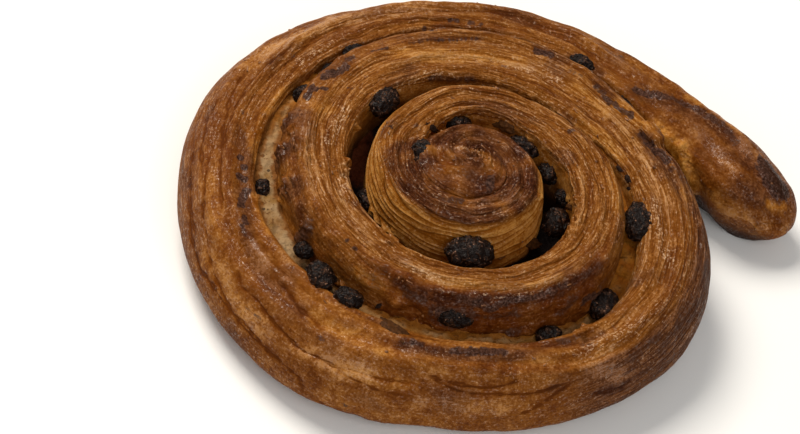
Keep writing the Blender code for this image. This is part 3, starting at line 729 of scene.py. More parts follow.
def layer_edges(grid):
    """The edges of the dough's layers, one kind at a time, where each kind shows."""
    s, along = grid["length"], grid["along"]
    drift = s + swells(along, s, *DRIFT)
    stepped = ease(*STEPPED, grid["turns"][:, None])
    return dict(
        broad=patches_of(along, s, *STRONG) * layered(drift / BROAD + 0.6 * swell(along / 23, s / 5, 5)),
        middle=patches_of(along, s, *WEAK) * layered(drift / MIDDLE + 0.7 * swell(along / 12, s / 2.4, 12)),
        fine=layered(drift / FINE + 0.8 * swell(along / 8, s / 1.2, 13)),
        thread=swell(drift / THREAD, along / 4, 14),
        steps=stepped * layered(drift / STEPS + 0.5 * swell(along / 30, s / 8, 16)),
        folds=bun_flank(grid) * layered(drift / FOLDS + 0.9 * swell(along / 15, s / 4, 17)),
    )


def relief_of(grid, seen):
    """How far the surface stands out and how far it is lifted, in mm, and where edges and furrows show."""
    turns = grid["turns"][:, None]
    s, along = grid["length"], grid["along"]
    x, y = grid["points"][..., 0], grid["points"][..., 1]
    grain = grain_of(grid)
    layers = layer_edges(grid)
    crack, furrow = cracked(seen)
    raised = grain * sum(rise * layers[kind] for kind, rise in RAISED.items()) + FOLD_RISE * layers["folds"]
    raised = raised + THREAD_RISE * (1 + grain) * layers["thread"]
    raised = raised - CRACK_DEPTH * crack - FURROW_DEPTH * furrow
    lines = grain * sum(share * layers[kind] for kind, share in LINED.items()) - CRACK_LINE * crack
    lines = lines + FOLD_LINE * layers["folds"]
    bumps = burnt_flank(grid) * swells(along, s, *BURNT_BUMPS) + left_flank(grid) * swells(along, s, *LOBES)
    bumps = bumps + SADDLE_RISE * zoned(seen, SADDLE, SADDLE_EDGE)
    crags = np.exp(-((s / LIP_REACH) ** 2)) * (turns > 0) * swells(along, s, *LIP_CRAGS)
    crags = crags + zoned(seen, CRAGS, CRAG_EDGE) * (CRAG_RISE + swells(along, s, *CRAG_BITS))
    # the relief fades towards the edges that the swirl's coils share, towards its eye, and at the tail's end
    edge = np.minimum(np.abs(s), np.abs(s[:, LAST_TOP][:, None] - s))
    swirl_fade = np.where(turns < 0, ease(0, SHARED_EDGE, edge), 1.0)
    eye_fade = ease(*EYE_EDGE, np.hypot(x - EYE_X, y - EYE_Y))
    relief = (raised * swirl_fade * eye_fade + bumps + crags) * np.minimum(grid["shrink"] * 1.2, 1)
    return relief, swells(x, y, *LUMPS) * grid["shrink"], lines, furrow


def in_picture(points):
    """Where points in mm fall in the picture, in pixels, and how far from the camera they are."""
    x, y, z = points[..., 0] - EYE_X, points[..., 1] - EYE_Y, points[..., 2]
    sine, cosine = math.sin(CAMERA_RISE), math.cos(CAMERA_RISE)
    depth = CAMERA_DISTANCE / MM + y * cosine - z * sine
    u = x * CAMERA_DISTANCE / MM / depth
    v = (y * sine + z * cosine) * CAMERA_DISTANCE / MM / depth
    turn_c, turn_s = math.cos(CAMERA_ROLL), math.sin(CAMERA_ROLL)
    across = EYE_PIXEL[0] + PIXELS_PER_MM * (u * turn_c + v * turn_s)
    down = EYE_PIXEL[1] + PIXELS_PER_MM * (u * turn_s - v * turn_c)
    return across, down, depth


class Seen:
    """A grid's points as the camera sees them, with the nearest one under each pixel."""

    def __init__(self, points):
        self.shape = points.shape[:2]
        self.flat = points.reshape(-1, 3)
        self.across, self.down, self.depth = (part.ravel() for part in in_picture(self.flat))
        self.nearest = np.full((PICTURE[1], PICTURE[0]), -1)
        column, row = np.round(self.across).astype(int), np.round(self.down).astype(int)
        inside = (column >= 0) & (column < PICTURE[0]) & (row >= 0) & (row < PICTURE[1])
        order = np.flatnonzero(inside)
        order = order[np.argsort(-self.depth[order])]
        self.nearest[row[order], column[order]] = order
        self.by_x = np.argsort(self.flat[:, 0])
        self.x = self.flat[self.by_x, 0]

    def around(self, place, reach):
        """The points in a box round a place."""
        low, high = np.searchsorted(self.x, (place[0] - reach, place[0] + reach))
        picked = self.by_x[low:high]
        return picked[(np.abs(self.flat[picked, 1:] - place[1:]) < reach).all(axis=1)]

    def under(self, x, y):
        """The point that shows at a pixel."""
        window = self.nearest[max(round(y) - 1, 0):round(y) + 2, max(round(x) - 1, 0):round(x) + 2].ravel()
        window = window[window >= 0]
        if len(window) == 0:
            return self.flat[np.argmin((self.across - x) ** 2 + (self.down - y) ** 2)]
        return self.flat[window[np.argmin(self.depth[window])]]


def cracked(seen):
    """1 in the middle of a crack, and less to both sides; and the same for the furrow that it lies in."""
    wander = CRACK_WANDER * swell(seen.across / WANDER_STEP, seen.down / WANDER_STEP, 30)
    crack, furrow = np.zeros(len(seen.flat)), np.zeros(len(seen.flat))
    for line in CRACKS:
        for k, ((x0, y0), (x1, y1)) in enumerate(zip(line, line[1:])):
            run = math.hypot(x1 - x0, y1 - y0)
            middle = seen.under((x0 + x1) / 2, (y0 + y1) / 2)
            close = seen.around(middle, 0.8 * run / PIXELS_PER_MM + 2)
            dx, dy = seen.across[close] - x0, seen.down[close] - y0
            share = np.clip((dx * (x1 - x0) + dy * (y1 - y0)) / run**2, 0, 1)
            away = np.hypot(dx - share * (x1 - x0), dy - share * (y1 - y0))
            off = (away + wander[close]) / PIXELS_PER_MM
            # each crack runs out at its two ends
            ends = ease(0, 0.6, share) if k == 0 else 1.0
            if k == len(line) - 2:
                ends = ends * ease(1, 0.4, share)
            for depth, width in ((crack, CRACK_WIDTH), (furrow, FURROW_WIDTH)):
                depth[close] = np.maximum(depth[close], ends * np.exp(-((off / width) ** 2)))
    return crack.reshape(seen.shape), furrow.reshape(seen.shape)


def zoned(seen, zones, soft):
    """How strongly each point lies in one of the zones, whose edges are ragged, and as soft as given."""
    x, y, z = seen.flat.T
    ragged = 0.35 * swell(x / 1.3, y / 1.3, 20) + 0.25 * swell(x / 0.6, z / 0.6, 21)
    strength = np.zeros(len(seen.flat))
    for x0, y0, x1, y1, half, most in zones:
        count = max(2, round(math.hypot(x1 - x0, y1 - y0) / ZONE_STEP))
        for share in np.linspace(0, 1, count):
            place = seen.under(x0 + (x1 - x0) * share, y0 + (y1 - y0) * share)
            close = seen.around(place, (1.5 + soft) * half)
            far = np.linalg.norm(seen.flat[close] - place, axis=1) / half + ragged[close]
            strength[close] = np.maximum(strength[close], most * ease(1 + soft, 1 - soft, far))
    return strength.reshape(seen.shape)


def burns_of(grid, seen, band):
    """How burnt the dough is: its dark patches, the scorched flank, the band on the rim, and freckles."""
    turns, s, along, across = grid["turns"][:, None], grid["length"], grid["along"], grid["across"]
    scorched = burnt_flank(grid) * patches_of(along, s, *SCORCHED) * ease(1.15, 1.0, across)
    # the freckles lie all round, on the hidden sides too
    freckles = patches_of(along, s, *FRECKLES) * patches_of(along, s, *FRECKLED) * (turns > OPEN_TURN)
    return strongest(zoned(seen, PATCHES, PATCH_EDGE), 0.6 * scorched, 0.55 * freckles,
                     0.55 * band * patches_of(along, s, *BAND_BURNS))


def shade_and_char_of(grid, burn, depth):
    """How dark the dough is: painted shade deep in a groove, and black where it is charred."""
    turns, across = grid["turns"][:, None], grid["across"]
    # the last turn has no groove outside it
    outside = ease(*RIM_TURNS, turns + 1) * ease(0.9, 1.0, across)
    in_groove = np.where(across < 0, 1.0, np.where(across > 1, 1 - outside, 0.0))
    return np.maximum(in_groove * ease(*GROOVE_SHADE, depth), 0.55 * ease(*CHAR_SHADE, burn))


def finishes_of(grid, lines, furrow, seen):
    """What the dough's surface is like at each point: the values that its material reads."""
    turns = grid["turns"][:, None]
    s, along, across = grid["length"], grid["along"], grid["across"]
    x, y, z = np.moveaxis(grid["points"], 2, 0)
    depth = grid["crest"][:, None] - z
    gold = zoned(seen, GOLDEN, GOLD_EDGE)
    # paler tan crust on the high crests, with a painted highlight there; it lightens the lines and the brown
    tan = zoned(seen, TAN_AND_HIGHLIGHTS, BROWN_EDGE)
    # the dark band lies low on the rim
    band = ease(0.6, 0.78, across) * within(turns, *RIM_BAND)
    burn = burns_of(grid, seen, band)
    inner = ease(0.1, -0.05, across) * within(depth, *INNER_WALL)
    pale = np.maximum(0.9 * inner, bun_flank(grid)) * (0.75 + 0.5 * swell(along / 7, s / 3, 25))
    pale = np.maximum(pale, gold)
    bun_top = ease(*BUN_TURNS, turns) * ease(2.2, 0.8, depth) * (0.7 + 0.8 * swell(x / 5, y / 5, 26))
    ring_toast = 0.55 * patches_of(along, s, *RING_TOAST) * (turns > OPEN_TURN)
    toast = strongest(zoned(seen, TOASTED, TOAST_EDGE), bun_top, ring_toast) * (1 - 0.8 * pale)
    patchy = 1 + 0.5 * swell(x / 6, y / 6, 28)
    stretches = {
        "burnt flank": burnt_flank(grid) * patchy,
        # the ring's near outer side: its browning, and painted shade on the side turned from the light
        "front": ease(0.6, 0.9, across) * within(turns, *FRONT_BROWN_AND_SHADE),
        "furrow": furrow,
        "bun top": bun_top,
        "tail": ease(*TAIL_TURNS, turns) * (1 - gold) * patchy,
        "left ring": within(turns, *LEFT_RING) * patchy,
        "bands": patches_of(along, s, *DARK_BANDS) * (turns > OPEN_TURN) * (1 - 0.7 * gold),
        "browned": zoned(seen, BROWNED, BROWN_EDGE),
        "left flank": left_flank(grid) * patchy,
    }
    deep = strongest(*(DEEPENED[name] * stretch for name, stretch in stretches.items()))
    return dict(
        burn=burn,
        toast=np.maximum(toast, band),
        pale=np.clip(pale, 0, 1),
        # painted shade deep in the grooves, and char
        dark=shade_and_char_of(grid, burn, depth),
        line=np.clip(0.5 + 0.6 * lines + 0.4 * tan, 0, 1.3),
        grain=grain_of(grid),
        deep=np.clip(deep * (1 - 0.5 * np.clip(tan, 0, 1)), 0, 1),
        # where the glaze coat is stronger and painted highlight specks gather
        gloss_and_highlight=zoned(seen, GLOSS_AND_HIGHLIGHTS, GLOSS_EDGE),
    )


def feed(tree, node, key, value):
    """Sets one input of a node to a value, or links it to another node's output."""
    if isinstance(value, bpy.types.NodeSocket):
        tree.links.new(value, node.inputs[key])
    else:
        node.inputs[key].default_value = value


def add_node(tree, kind, inputs=None, **settings):
    """Adds a shader node, with its settings, and sets or links its inputs."""
    made = tree.nodes.new(kind)
    for name, value in settings.items():
        setattr(made, name, value)
    for key, value in (inputs or {}).items():
        feed(tree, made, key, value)
    return made


def mixed(tree, factor, one, two, blend="MIX"):
    """The colour between two colours."""
    one, two = ((*c, 1) if isinstance(c, tuple) else c for c in (one, two))
    made = add_node(tree, "ShaderNodeMix", {0: factor, 6: one, 7: two}, data_type="RGBA", blend_type=blend)
    return made.outputs[2]


def spread(tree, value, low, high, out_low=0.0, out_high=1.0):
    """A value spread from one range over another, smooth at its ends."""
    made = add_node(tree, "ShaderNodeMapRange", {0: value, 1: low, 2: high, 3: out_low, 4: out_high},
                    interpolation_type="SMOOTHSTEP")
    return made.outputs[0]


def reckon(tree, how, one, two):
    """The outcome of one sum on two values."""
    return add_node(tree, "ShaderNodeMath", {0: one, 1: two}, operation=how).outputs[0]


def blended(tree, *parts):
    """The sum of values, each times its share."""
    total = 0.0
    for value, share in parts:
        made = add_node(tree, "ShaderNodeMath", {0: value, 1: share, 2: total}, operation="MULTIPLY_ADD")
        total = made.outputs[0]
    return total


def attribute(tree, name):
    """A value that the piece carries at each of its points."""
    return add_node(tree, "ShaderNodeAttribute", attribute_name=name).outputs["Fac"]


def stained(tree, colour, stains):
    """The colour with each stain over it, as strongly as the piece's value of that name."""
    for name, stain in stains.items():
        colour = mixed(tree, attribute(tree, name), colour, stain)
    return colour


def place_in(tree):
    """The place on the object, which the patterns follow."""
    return add_node(tree, "ShaderNodeTexCoord").outputs["Object"]


def speckle(tree, vector, scale, detail=3.0, roughness=0.55, stretch=None, distortion=0.0):
    """Noise over a vector, stretched where stretch is given."""
    if stretch:
        vector = add_node(tree, "ShaderNodeMapping", {"Vector": vector, "Scale": stretch}).outputs[0]
    made = add_node(tree, "ShaderNodeTexNoise", {
        "Vector": vector, "Scale": scale, "Detail": detail, "Roughness": roughness, "Distortion": distortion})
    return made.outputs["Fac"]


def new_material(name):
    """A material, its tree of nodes, and its shader."""
    material = bpy.data.materials.new(name)
    material.use_nodes = True
    tree = material.node_tree
    return material, tree, tree.nodes["Principled BSDF"]


def set_shader(tree, shader, **values):
    """Sets the shader's inputs to values, or links them to sockets; an underscore stands for a space."""
    for name, value in values.items():
        feed(tree, shader, name.replace("_", " "), value)


def embossed(tree, height, depth):
    """Fine bumps of this height pattern, as deep as given in metres."""
    return add_node(tree, "ShaderNodeBump", {"Height": height, "Distance": depth, "Strength": 1.0}).outputs[0]


def baked_dough():
    """Browned layers: fine lines along the coil, tan to deep brown, with burnt patches, pale crumb, painted
    shade deep in the grooves and painted highlight specks.
    """
    material, tree, shader = new_material("baked dough")
    coil = add_node(tree, "ShaderNodeUVMap", uv_map="coil").outputs[0]
    place = place_in(tree)
    streaks = speckle(tree, coil, 1.0, 4.0, 0.65, (1.4, 11.0, 1.0), 1.4)
    threads = speckle(tree, coil, 1.0, 3.0, 0.7, (4.5, 30.0, 1.0), 1.2)
    blotches = speckle(tree, place, 75.0, 4.0, 0.6, distortion=0.6)
    clouds = speckle(tree, place, 210.0, 4.0, 0.65, distortion=0.8)
    sand = speckle(tree, place, 900.0, 4.0, 0.75)
    mottle = speckle(tree, place, 420.0, 4.0, 0.65)
    grit = speckle(tree, place, 1700.0, 3.0, 0.7)
    line = attribute(tree, "line")
    # the streaks fade where the crust is smooth, and cloudy mottling takes their place
    grain = attribute(tree, "grain")
    streaky = reckon(tree, "MULTIPLY", blended(tree, (streaks, 1.0), (threads, 0.6), (-0.8, 1.0)), grain)
    cloudy = reckon(tree, "MULTIPLY", blended(tree, (clouds, 0.9), (mottle, 0.3), (sand, 0.5), (-0.85, 1.0)),
                    reckon(tree, "SUBTRACT", 1.1, grain))
    tone = blended(tree, (line, 0.7), (streaky, 1.1), (cloudy, 1.0), (mottle, 0.4), (grit, 0.9))
    colour = mixed(tree, spread(tree, tone, 0.76, 1.04), CRUST["dark"], CRUST["brown"])
    colour = mixed(tree, spread(tree, tone, 1.0, 1.4), colour, CRUST["tan"])
    colour = mixed(tree, spread(tree, blotches, 0.5, 0.7, 0.0, 0.6), colour, CRUST["blotch"])
    gold = mixed(tree, spread(tree, tone, 0.76, 1.32), CRUST["gold"], CRUST["light gold"])
    colour = mixed(tree, attribute(tree, "pale"), colour, gold)
    toast = blended(tree, (attribute(tree, "toast"), 1.0), (clouds, 0.9), (mottle, 0.8), (grit, 0.5))
    toasted = mixed(tree, spread(tree, tone, 0.8, 1.35), CRUST["toast"], CRUST["light toast"])
    colour = mixed(tree, spread(tree, toast, 1.2, 1.95, 0.0, 0.85), colour, toasted)
    colour = mixed(tree, attribute(tree, "deep"), colour, CRUST["deep"], "MULTIPLY")
    # painted highlights: small crisp pale specks where a thread's crest catches on the grit, most of all on
    # the glossy ridges
    gloss_and_highlight = attribute(tree, "gloss_and_highlight")
    caught = spread(tree, blended(tree, (threads, 0.8), (grit, 1.0), (gloss_and_highlight, 0.2)), 1.04, 1.16)
    light = spread(tree, blended(tree, (tone, 1.0), (gloss_and_highlight, 0.3)), 0.9, 1.2)
    painted_glints = reckon(tree, "MULTIPLY", reckon(tree, "MULTIPLY", caught, light),
                    blended(tree, (grain, 0.5), (gloss_and_highlight, 0.2), (0.12, 1.0)))
    colour = mixed(tree, painted_glints, colour, CRUST["painted_glint"])
    char = mixed(tree, spread(tree, grit, 0.35, 0.65), CRUST["char"], CRUST["light char"])
    burn = blended(tree, (attribute(tree, "burn"), 1.0), (mottle, 0.7), (grit, 0.9))
    colour = mixed(tree, spread(tree, burn, 1.15, 1.55, 0.0, 0.95), colour, char)
    # painted shade deep in the grooves, and black char
    colour = mixed(tree, attribute(tree, "dark"), colour, CRUST["shade"])
    # the glaze is a coat that breaks up over the threads
    glaze = blended(tree, (threads, 0.7), (grit, 0.7), (line, 0.3), (gloss_and_highlight, 0.12))
    bumps = embossed(tree, blended(tree, (streaky, 0.7), (mottle, 0.3), (grit, 0.28)), 0.0006)
    set_shader(tree, shader, Base_Color=colour, Normal=bumps, Specular_IOR_Level=0.05, IOR=1.45,
               Roughness=spread(tree, grit, 0.3, 0.7, 0.42, 0.7), Coat_Weight=spread(tree, glaze, 0.87, 1.02),
               Coat_Normal=bumps, Coat_Roughness=0.22, Coat_IOR=1.5)
    return material


def flake_crust():
    """Loose crust: tan to brown, each flake its own tone."""
    material, tree, shader = new_material("flake crust")
    tone = speckle(tree, place_in(tree), 420.0, 3.0)
    colour = mixed(tree, spread(tree, tone, 0.35, 0.65), CRUST["flake"], CRUST["light flake"])
    set_shader(tree, shader, Base_Color=colour, Roughness=0.4, IOR=1.45)
    return material


def baked_cream():
    """Pastry cream: pale and crumbly near the top, and darkened nearly black with painted shade deep in the
    bun's groove.
    """
    material, tree, shader = new_material("baked cream")
    place = place_in(tree)
    lumps = speckle(tree, place, 160.0, 4.0, 0.6)
    grit = speckle(tree, place, 1100.0, 3.0, 0.7)
    specks = add_node(tree, "ShaderNodeTexVoronoi", {"Vector": place, "Scale": 420.0}).outputs["Distance"]
    colour = mixed(tree, spread(tree, lumps, 0.35, 0.65), CREAM["dull"], CREAM["pale"])
    colour = mixed(tree, spread(tree, specks, 0.24, 0.17, 0.0, 0.85), colour, CREAM["speck"])
    colour = stained(tree, colour, CREAM_STAINS)
    colour = mixed(tree, spread(tree, grit, 0.58, 0.66, 0.0, 0.7), colour, CREAM["pore"])
    # painted shade deep in the bun's groove, then the rusty red-brown
    colour = stained(tree, colour, CREAM_SHADE_AND_RUST)
    bumps = embossed(tree, blended(tree, (lumps, 1.0), (grit, 0.4)), 0.001)
    set_shader(tree, shader, Base_Color=colour, Roughness=0.6, IOR=1.4, Specular_IOR_Level=0.1, Normal=bumps)
    return material


def raisin_skin():
    """Nearly black wrinkled skin, brown on its folds, with glints painted on them as pale specks."""
    material, tree, shader = new_material("raisin skin")
    place = place_in(tree)
    folds = speckle(tree, place, 620.0, 3.0, 0.6, distortion=1.2)
    grit = speckle(tree, place, 1900.0, 2.0, 0.6)
    colour = mixed(tree, spread(tree, folds, 0.5, 0.7), SKIN["black"], SKIN["brown"])
    # painted highlights: pale specks where the grit peaks on the folds
    caught = spread(tree, grit, 0.6, 0.68, 0.0, 0.8)
    glints = reckon(tree, "MULTIPLY", caught, spread(tree, folds, 0.48, 0.58))
    colour = mixed(tree, glints, colour, SKIN["glint"])
    bumps = embossed(tree, blended(tree, (folds, 1.0), (grit, 0.3)), 0.0007)
    set_shader(tree, shader, Base_Color=colour, Normal=bumps, Specular_IOR_Level=0.16, IOR=1.45,
               Roughness=spread(tree, grit, 0.3, 0.7, 0.3, 0.5))
    return material


def dried_film(kind):
    """A thin film of custard and sugar, dull and gritty, in the colour of its kind."""
    material, tree, shader = new_material(kind)
    grit = speckle(tree, place_in(tree), 1300.0, 3.0, 0.7)
    dim = tuple(FILM_DIM * part for part in FILMS[kind])
    colour = mixed(tree, spread(tree, grit, 0.35, 0.65), dim, FILMS[kind])
    set_shader(tree, shader, Base_Color=colour, Roughness=0.55, IOR=1.45, Specular_IOR_Level=0.06)
    return material


def add_piece(name, points, corners, material, node=None):
    """Makes a smooth mesh from points in mm and lists of corners, and hangs it on the frame."""
    mesh = bpy.data.meshes.new(name)
    mesh.from_pydata((np.asarray(points) * MM).tolist(), [], corners)
    mesh.shade_smooth()
    mesh.materials.append(material)
    obj = bpy.data.objects.new(name, mesh)
    bpy.context.scene.collection.objects.link(obj)
    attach(obj, "root")
    if node:
        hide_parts(node)
    return obj


def store(mesh, name, values):
    """Gives each point of the mesh its value of this name."""
    data = mesh.attributes.new(name, "FLOAT", "POINT").data
    data.foreach_set("value", np.asarray(values, np.float32).ravel())


def ball_of(subdivisions):
    """The points and triangles of a ball of radius 1."""
    shell = bmesh.new()
    bmesh.ops.create_icosphere(shell, subdivisions=subdivisions, radius=1.0)
    points = np.array([v.co[:] for v in shell.verts])
    triangles = np.array([[v.index for v in f.verts] for f in shell.faces])
    shell.free()
    return points, triangles


def skin_quads(turns, rows):
    """The points' numbers by section and row, and the quads between them."""
    index = np.arange(len(turns) * rows).reshape(-1, rows)
    quads = []
    for k in range(rows):
        after = (k + 1) % rows
        keep = np.ones(len(turns) - 1, bool)
        # the coils of the swirl have grown together, so they have no walls between them
        if k < FIRST_TOP:
            keep = turns[:-1] > -NEARLY_ZERO
        elif LAST_TOP <= k < rows - 1:
            keep = turns[:-1] + 1 > -NEARLY_ZERO
        strip = np.stack((index[:-1, k], index[1:, k], index[1:, after], index[:-1, after]), axis=1)
        quads.append(strip[keep])
    return index, np.concatenate(quads)


def welded(quads, weld):
    """The faces once points are joined, and which corner of the quads each of their corners was."""
    faces, sources = [], []
    for quad, joined in zip(quads.tolist(), weld[quads].tolist()):
        kept = [(q, j) for n, (q, j) in enumerate(zip(quad, joined)) if j != joined[n - 1]]
        if len(set(joined)) == len(kept) > 2:
            faces.append([j for _, j in kept])
            sources.append([q for q, _ in kept])
    return faces, sources


def dough_piece(name, grid, finishes, normals, first, last, material):
    """One stretch of the dough, from section first to section last, closed by a cap at each end."""
    rows = grid["points"].shape[1]
    turns = grid["turns"][first:last + 1]
    index, quads = skin_quads(turns, rows)
    points = grid["points"][first:last + 1].reshape(-1, 3)
    _, lone, weld = np.unique(np.round(points, 4), axis=0, return_index=True, return_inverse=True)
    weld = weld.ravel()
    faces, sources = welded(quads, weld)
    seam = np.zeros((len(turns), rows, 3))
    for end, ring in ((0, index[0]), (-1, index[-1, ::-1])):
        if -NEARLY_ZERO < turns[end] < END_TURN:
            faces.append(weld[ring].tolist())
            sources.append(ring.tolist())
            # both pieces get the same normals where they meet, so that the seam between them doesn't show
            seam[end] = normals[first:last + 1][end]
    obj = add_piece(name, points[lone], faces, material, "dough")
    mesh = obj.data
    for key, values in finishes.items():
        store(mesh, key, values[first:last + 1].reshape(-1)[lone])
    corner = np.array([q for source in sources for q in source])
    uv = np.stack((grid["along"], grid["length"]), axis=2)[first:last + 1].reshape(-1, 2)[corner] * COIL_UV
    mesh.uv_layers.new(name="coil").data.foreach_set("uv", uv.astype(np.float32).ravel())
    mesh.normals_split_custom_set_from_vertices(seam.reshape(-1, 3)[lone].tolist())


def make_dough():
    """The dough in its four pieces; returns its grid and its normals."""
    grid = dough_grid()
    normals = normals_of(grid["points"])
    seen = Seen(grid["points"])
    relief, lump, lines, furrow = relief_of(grid, seen)
    finishes = finishes_of(grid, lines, furrow, seen)
    # the base stays level
    wall = np.clip(grid["points"][..., 2] / BASE_FADE, 0, 1)
    grid["points"] = swirl_pressed(grid["points"] + normals * (relief * wall)[..., None])
    grid["points"][..., 2] += lump * wall
    normals = normals_of(grid["points"])
    material = baked_dough()
    turns = grid["turns"]
    starts = [int(np.argmin(np.abs(turns - start))) for start in PIECES.values()]
    for name, first, last in zip(PIECES, starts, starts[1:] + [len(turns) - 1]):
        dough_piece(name, grid, finishes, normals, first, last, material)
    return grid, normals


def cream_grid():
    """The pastry cream's sections, from one wall of the groove over its top to the other."""
    turns = [CREAM_START]
    while turns[-1] < CREAM_END:
        middle = float(groove(turns[-1]))
        turns.append(turns[-1] + CREAM_STEP / (2 * math.pi * middle))
    turns = np.array(turns)[:, None]
    share = np.linspace(0, 1, CREAM_ROWS)[None, :]
    ends = np.minimum(ease(CREAM_START, CREAM_START + 0.03, turns), ease(CREAM_END, CREAM_END - 0.01, turns))
    near = outer_wall(turns) - CREAM_REACH * ends
    far = inner_wall(turns) + CREAM_REACH * ends
    radius = near + (far - near) * share
    angle = angle_of(turns)
    x, y = EYE_X + radius * np.cos(angle), EYE_Y + radius * np.sin(angle)
    along = np.cumsum(np.full(len(turns), CREAM_STEP))[:, None] + 0 * share
    cling = (2 * share - 1) ** 4 * (0.5 + 0.9 * swell(along / 2.5, share, 43))
    well = CREAM_WELL * within(turns, *CREAM_CREST)
    return turns, np.stack((x, y, CREAM_TOP(turns) + swells(x, y, *CREAM_LUMPS) + cling + well), axis=2)


def cream_finishes(turns, points):
    """How much painted shade darkens the cream at each point, and how browned, warm, blotched and rusty it
    is.
    """
    x, y = points[..., 0], points[..., 1]
    depth = CREST(turns) - points[..., 2]
    browned = ease(0.1, 0.7, swells(x, y, *CREAM_BROWNING)) * ease(1.95, 1.7, turns)
    # it is browner where it clings to the dough on both sides
    radius = np.hypot(x - EYE_X, y - EYE_Y)
    gap = np.full_like(radius, FAR_FROM_DOUGH)
    gap[:, 2:-2] = np.minimum(radius - outer_wall(turns), inner_wall(turns) - radius)[:, 2:-2]
    clinging = ease(1.5, 0.6, gap + 0.7 * swell(x / 1.3, y / 1.3, 46))
    warm = (0.7 - 0.4 * ease(1.42, 1.52, turns)) * within(turns, 1.2, 1.27, 1.70, 1.78)
    warm = np.maximum(warm, 0.5 * ease(1.9, 2.0, turns)) * (1 + 0.4 * swell(x / 3, y / 3, 47))
    return dict(
        # painted shade, darker deeper down in the bun's groove
        dark=ease(7, 11, depth) * ease(1.22, 1.05, turns),
        burn=strongest(browned, 0.5 * ease(2.0, 2.1, turns), 0.9 * clinging),
        warm=np.clip(warm, 0, 1),
        blotched=0.85 * patches_of(x, y, *CREAM_BLOTCHES) * within(turns, 1.2, 1.27, 1.44, 1.52),
        rusty=zoned(Seen(points), RUSTY, RUST_EDGE),
    )


def make_cream():
    """The pastry cream in the groove, as one closed band on its base."""
    turns, top = cream_grid()
    low, half = (top * (1, 1, level) + (0, 0, CREAM_BASE * (1 - level)) for level in (0.0, 0.5))
    points = np.concatenate([low[:, :1], half[:, :1], top, half[:, -1:], low[:, -1:]], axis=1)
    count, rows = points.shape[:2]
    index = np.arange(count * rows).reshape(count, rows)
    after = np.roll(index, -1, axis=1)
    quads = np.stack((index[:-1], index[1:], after[1:], after[:-1]), axis=2).reshape(-1, 4).tolist()
    faces = quads + [index[0].tolist(), index[-1, ::-1].tolist()]
    obj = add_piece("cream", points.reshape(-1, 3), faces, baked_cream(), "custard")
    for name, values in cream_finishes(turns, points).items():
        store(obj.data, name, values)


def wrinkle_textures():
    """The patterns of a raisin's folds and of its finer wrinkles."""
    textures = []
    for name, size, _ in WRINKLES:
        texture = bpy.data.textures.new(name, "CLOUDS")
        texture.noise_type = "HARD_NOISE"
        texture.noise_depth = 1
        texture.noise_scale = size
        textures.append(texture)
    return textures


def make_raisins():
    """Every raisin is a ball pressed to its size, then folded and wrinkled."""
    skin = raisin_skin()
    textures = wrinkle_textures()
    for number, (turn, out, height, length, width, thickness, heading) in enumerate(RAISINS, start=1):
        bpy.ops.object.select_all(action="DESELECT")
        bpy.ops.mesh.primitive_ico_sphere_add(subdivisions=RAISIN_BALL, radius=MM)
        raisin = bpy.context.object
        raisin.name = f"raisin_skin_{number:02d}"
        angle = float(angle_of(turn))
        radius = float(groove(turn)) + out
        place = Vector((EYE_X + radius * math.cos(angle), EYE_Y + radius * math.sin(angle), height)) * MM
        lean = math.radians(RAISIN_HEEL * math.sin(5 * number))
        along = angle - math.pi / 2 + math.radians(heading)
        bpy.ops.object.mode_set(mode="EDIT")
        bpy.ops.transform.resize(value=[RAISIN_SHARE * size for size in (length, width, thickness)])
        bpy.ops.transform.rotate(value=-lean, orient_axis="X", center_override=(0, 0, 0))
        bpy.ops.transform.rotate(value=-along, orient_axis="Z", center_override=(0, 0, 0))
        bpy.ops.transform.translate(value=place)
        bpy.ops.object.mode_set(mode="OBJECT")
        for texture, (_, _, depth) in zip(textures, WRINKLES):
            displace = raisin.modifiers.new("wrinkles", "DISPLACE")
            displace.texture = texture
            displace.texture_coords = "LOCAL"
            displace.mid_level = WRINKLE_LEVEL
            displace.strength = depth
            bpy.ops.object.modifier_apply(modifier=displace.name)
        bpy.ops.object.shade_smooth()
        raisin.data.materials.append(skin)
        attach(raisin, "root")
        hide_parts(f"raisin_{number:02d}")


def film_points(ball, place, facing, size, heading, seed):
    """A ball pressed into a ragged thin film, which lies half level and half along the dough."""
    half_length, half_width = size
    up = facing + BLISTER_LEVEL
    up = up / np.linalg.norm(up)
    run = np.array((math.cos(math.radians(heading)), math.sin(math.radians(heading)), 0.0))
    run = run - up * run.dot(up)
    run = run / np.linalg.norm(run)
    side = np.cross(up, run)
    a, b, c = ball.T
    edge = 1 + 0.35 * swell(2.1 * a + 7, 2.1 * b + 9, seed) + 0.2 * swell(5 * a + 3, 5 * b + 4, seed + 1)
    rise = BLISTER_RISE * c * (1 + 0.6 * swell(2.4 * a + 5, 2.4 * b + 6, seed + 2))
    return (place + run * (a * edge * half_length)[:, None] + side * (b * edge * half_width)[:, None]
            + up * (rise * min(half_width, FILM_HEIGHT))[:, None])


def make_blisters(grid, normals):
    """Thin blistered films of custard and sugar that lie on the dough, brown, burnt and golden."""
    seen = Seen(grid["points"])
    facing = normals.reshape(-1, 3)
    random = np.random.default_rng(9)
    ball, triangles = ball_of(FILM_BALL)
    for kind, films in BLISTERS.items():
        verts, faces = [], []
        for x, y, half_length, half_width, heading in films:
            place = seen.under(x, y)
            spot = int(np.argmin(np.abs(seen.flat - place).sum(axis=1)))
            seed = int(random.integers(100, 200))
            faces += (triangles + len(verts)).tolist()
            verts += list(film_points(ball, place, facing[spot], (half_length, half_width), heading, seed))
        add_piece(kind, verts, faces, dried_film(kind))


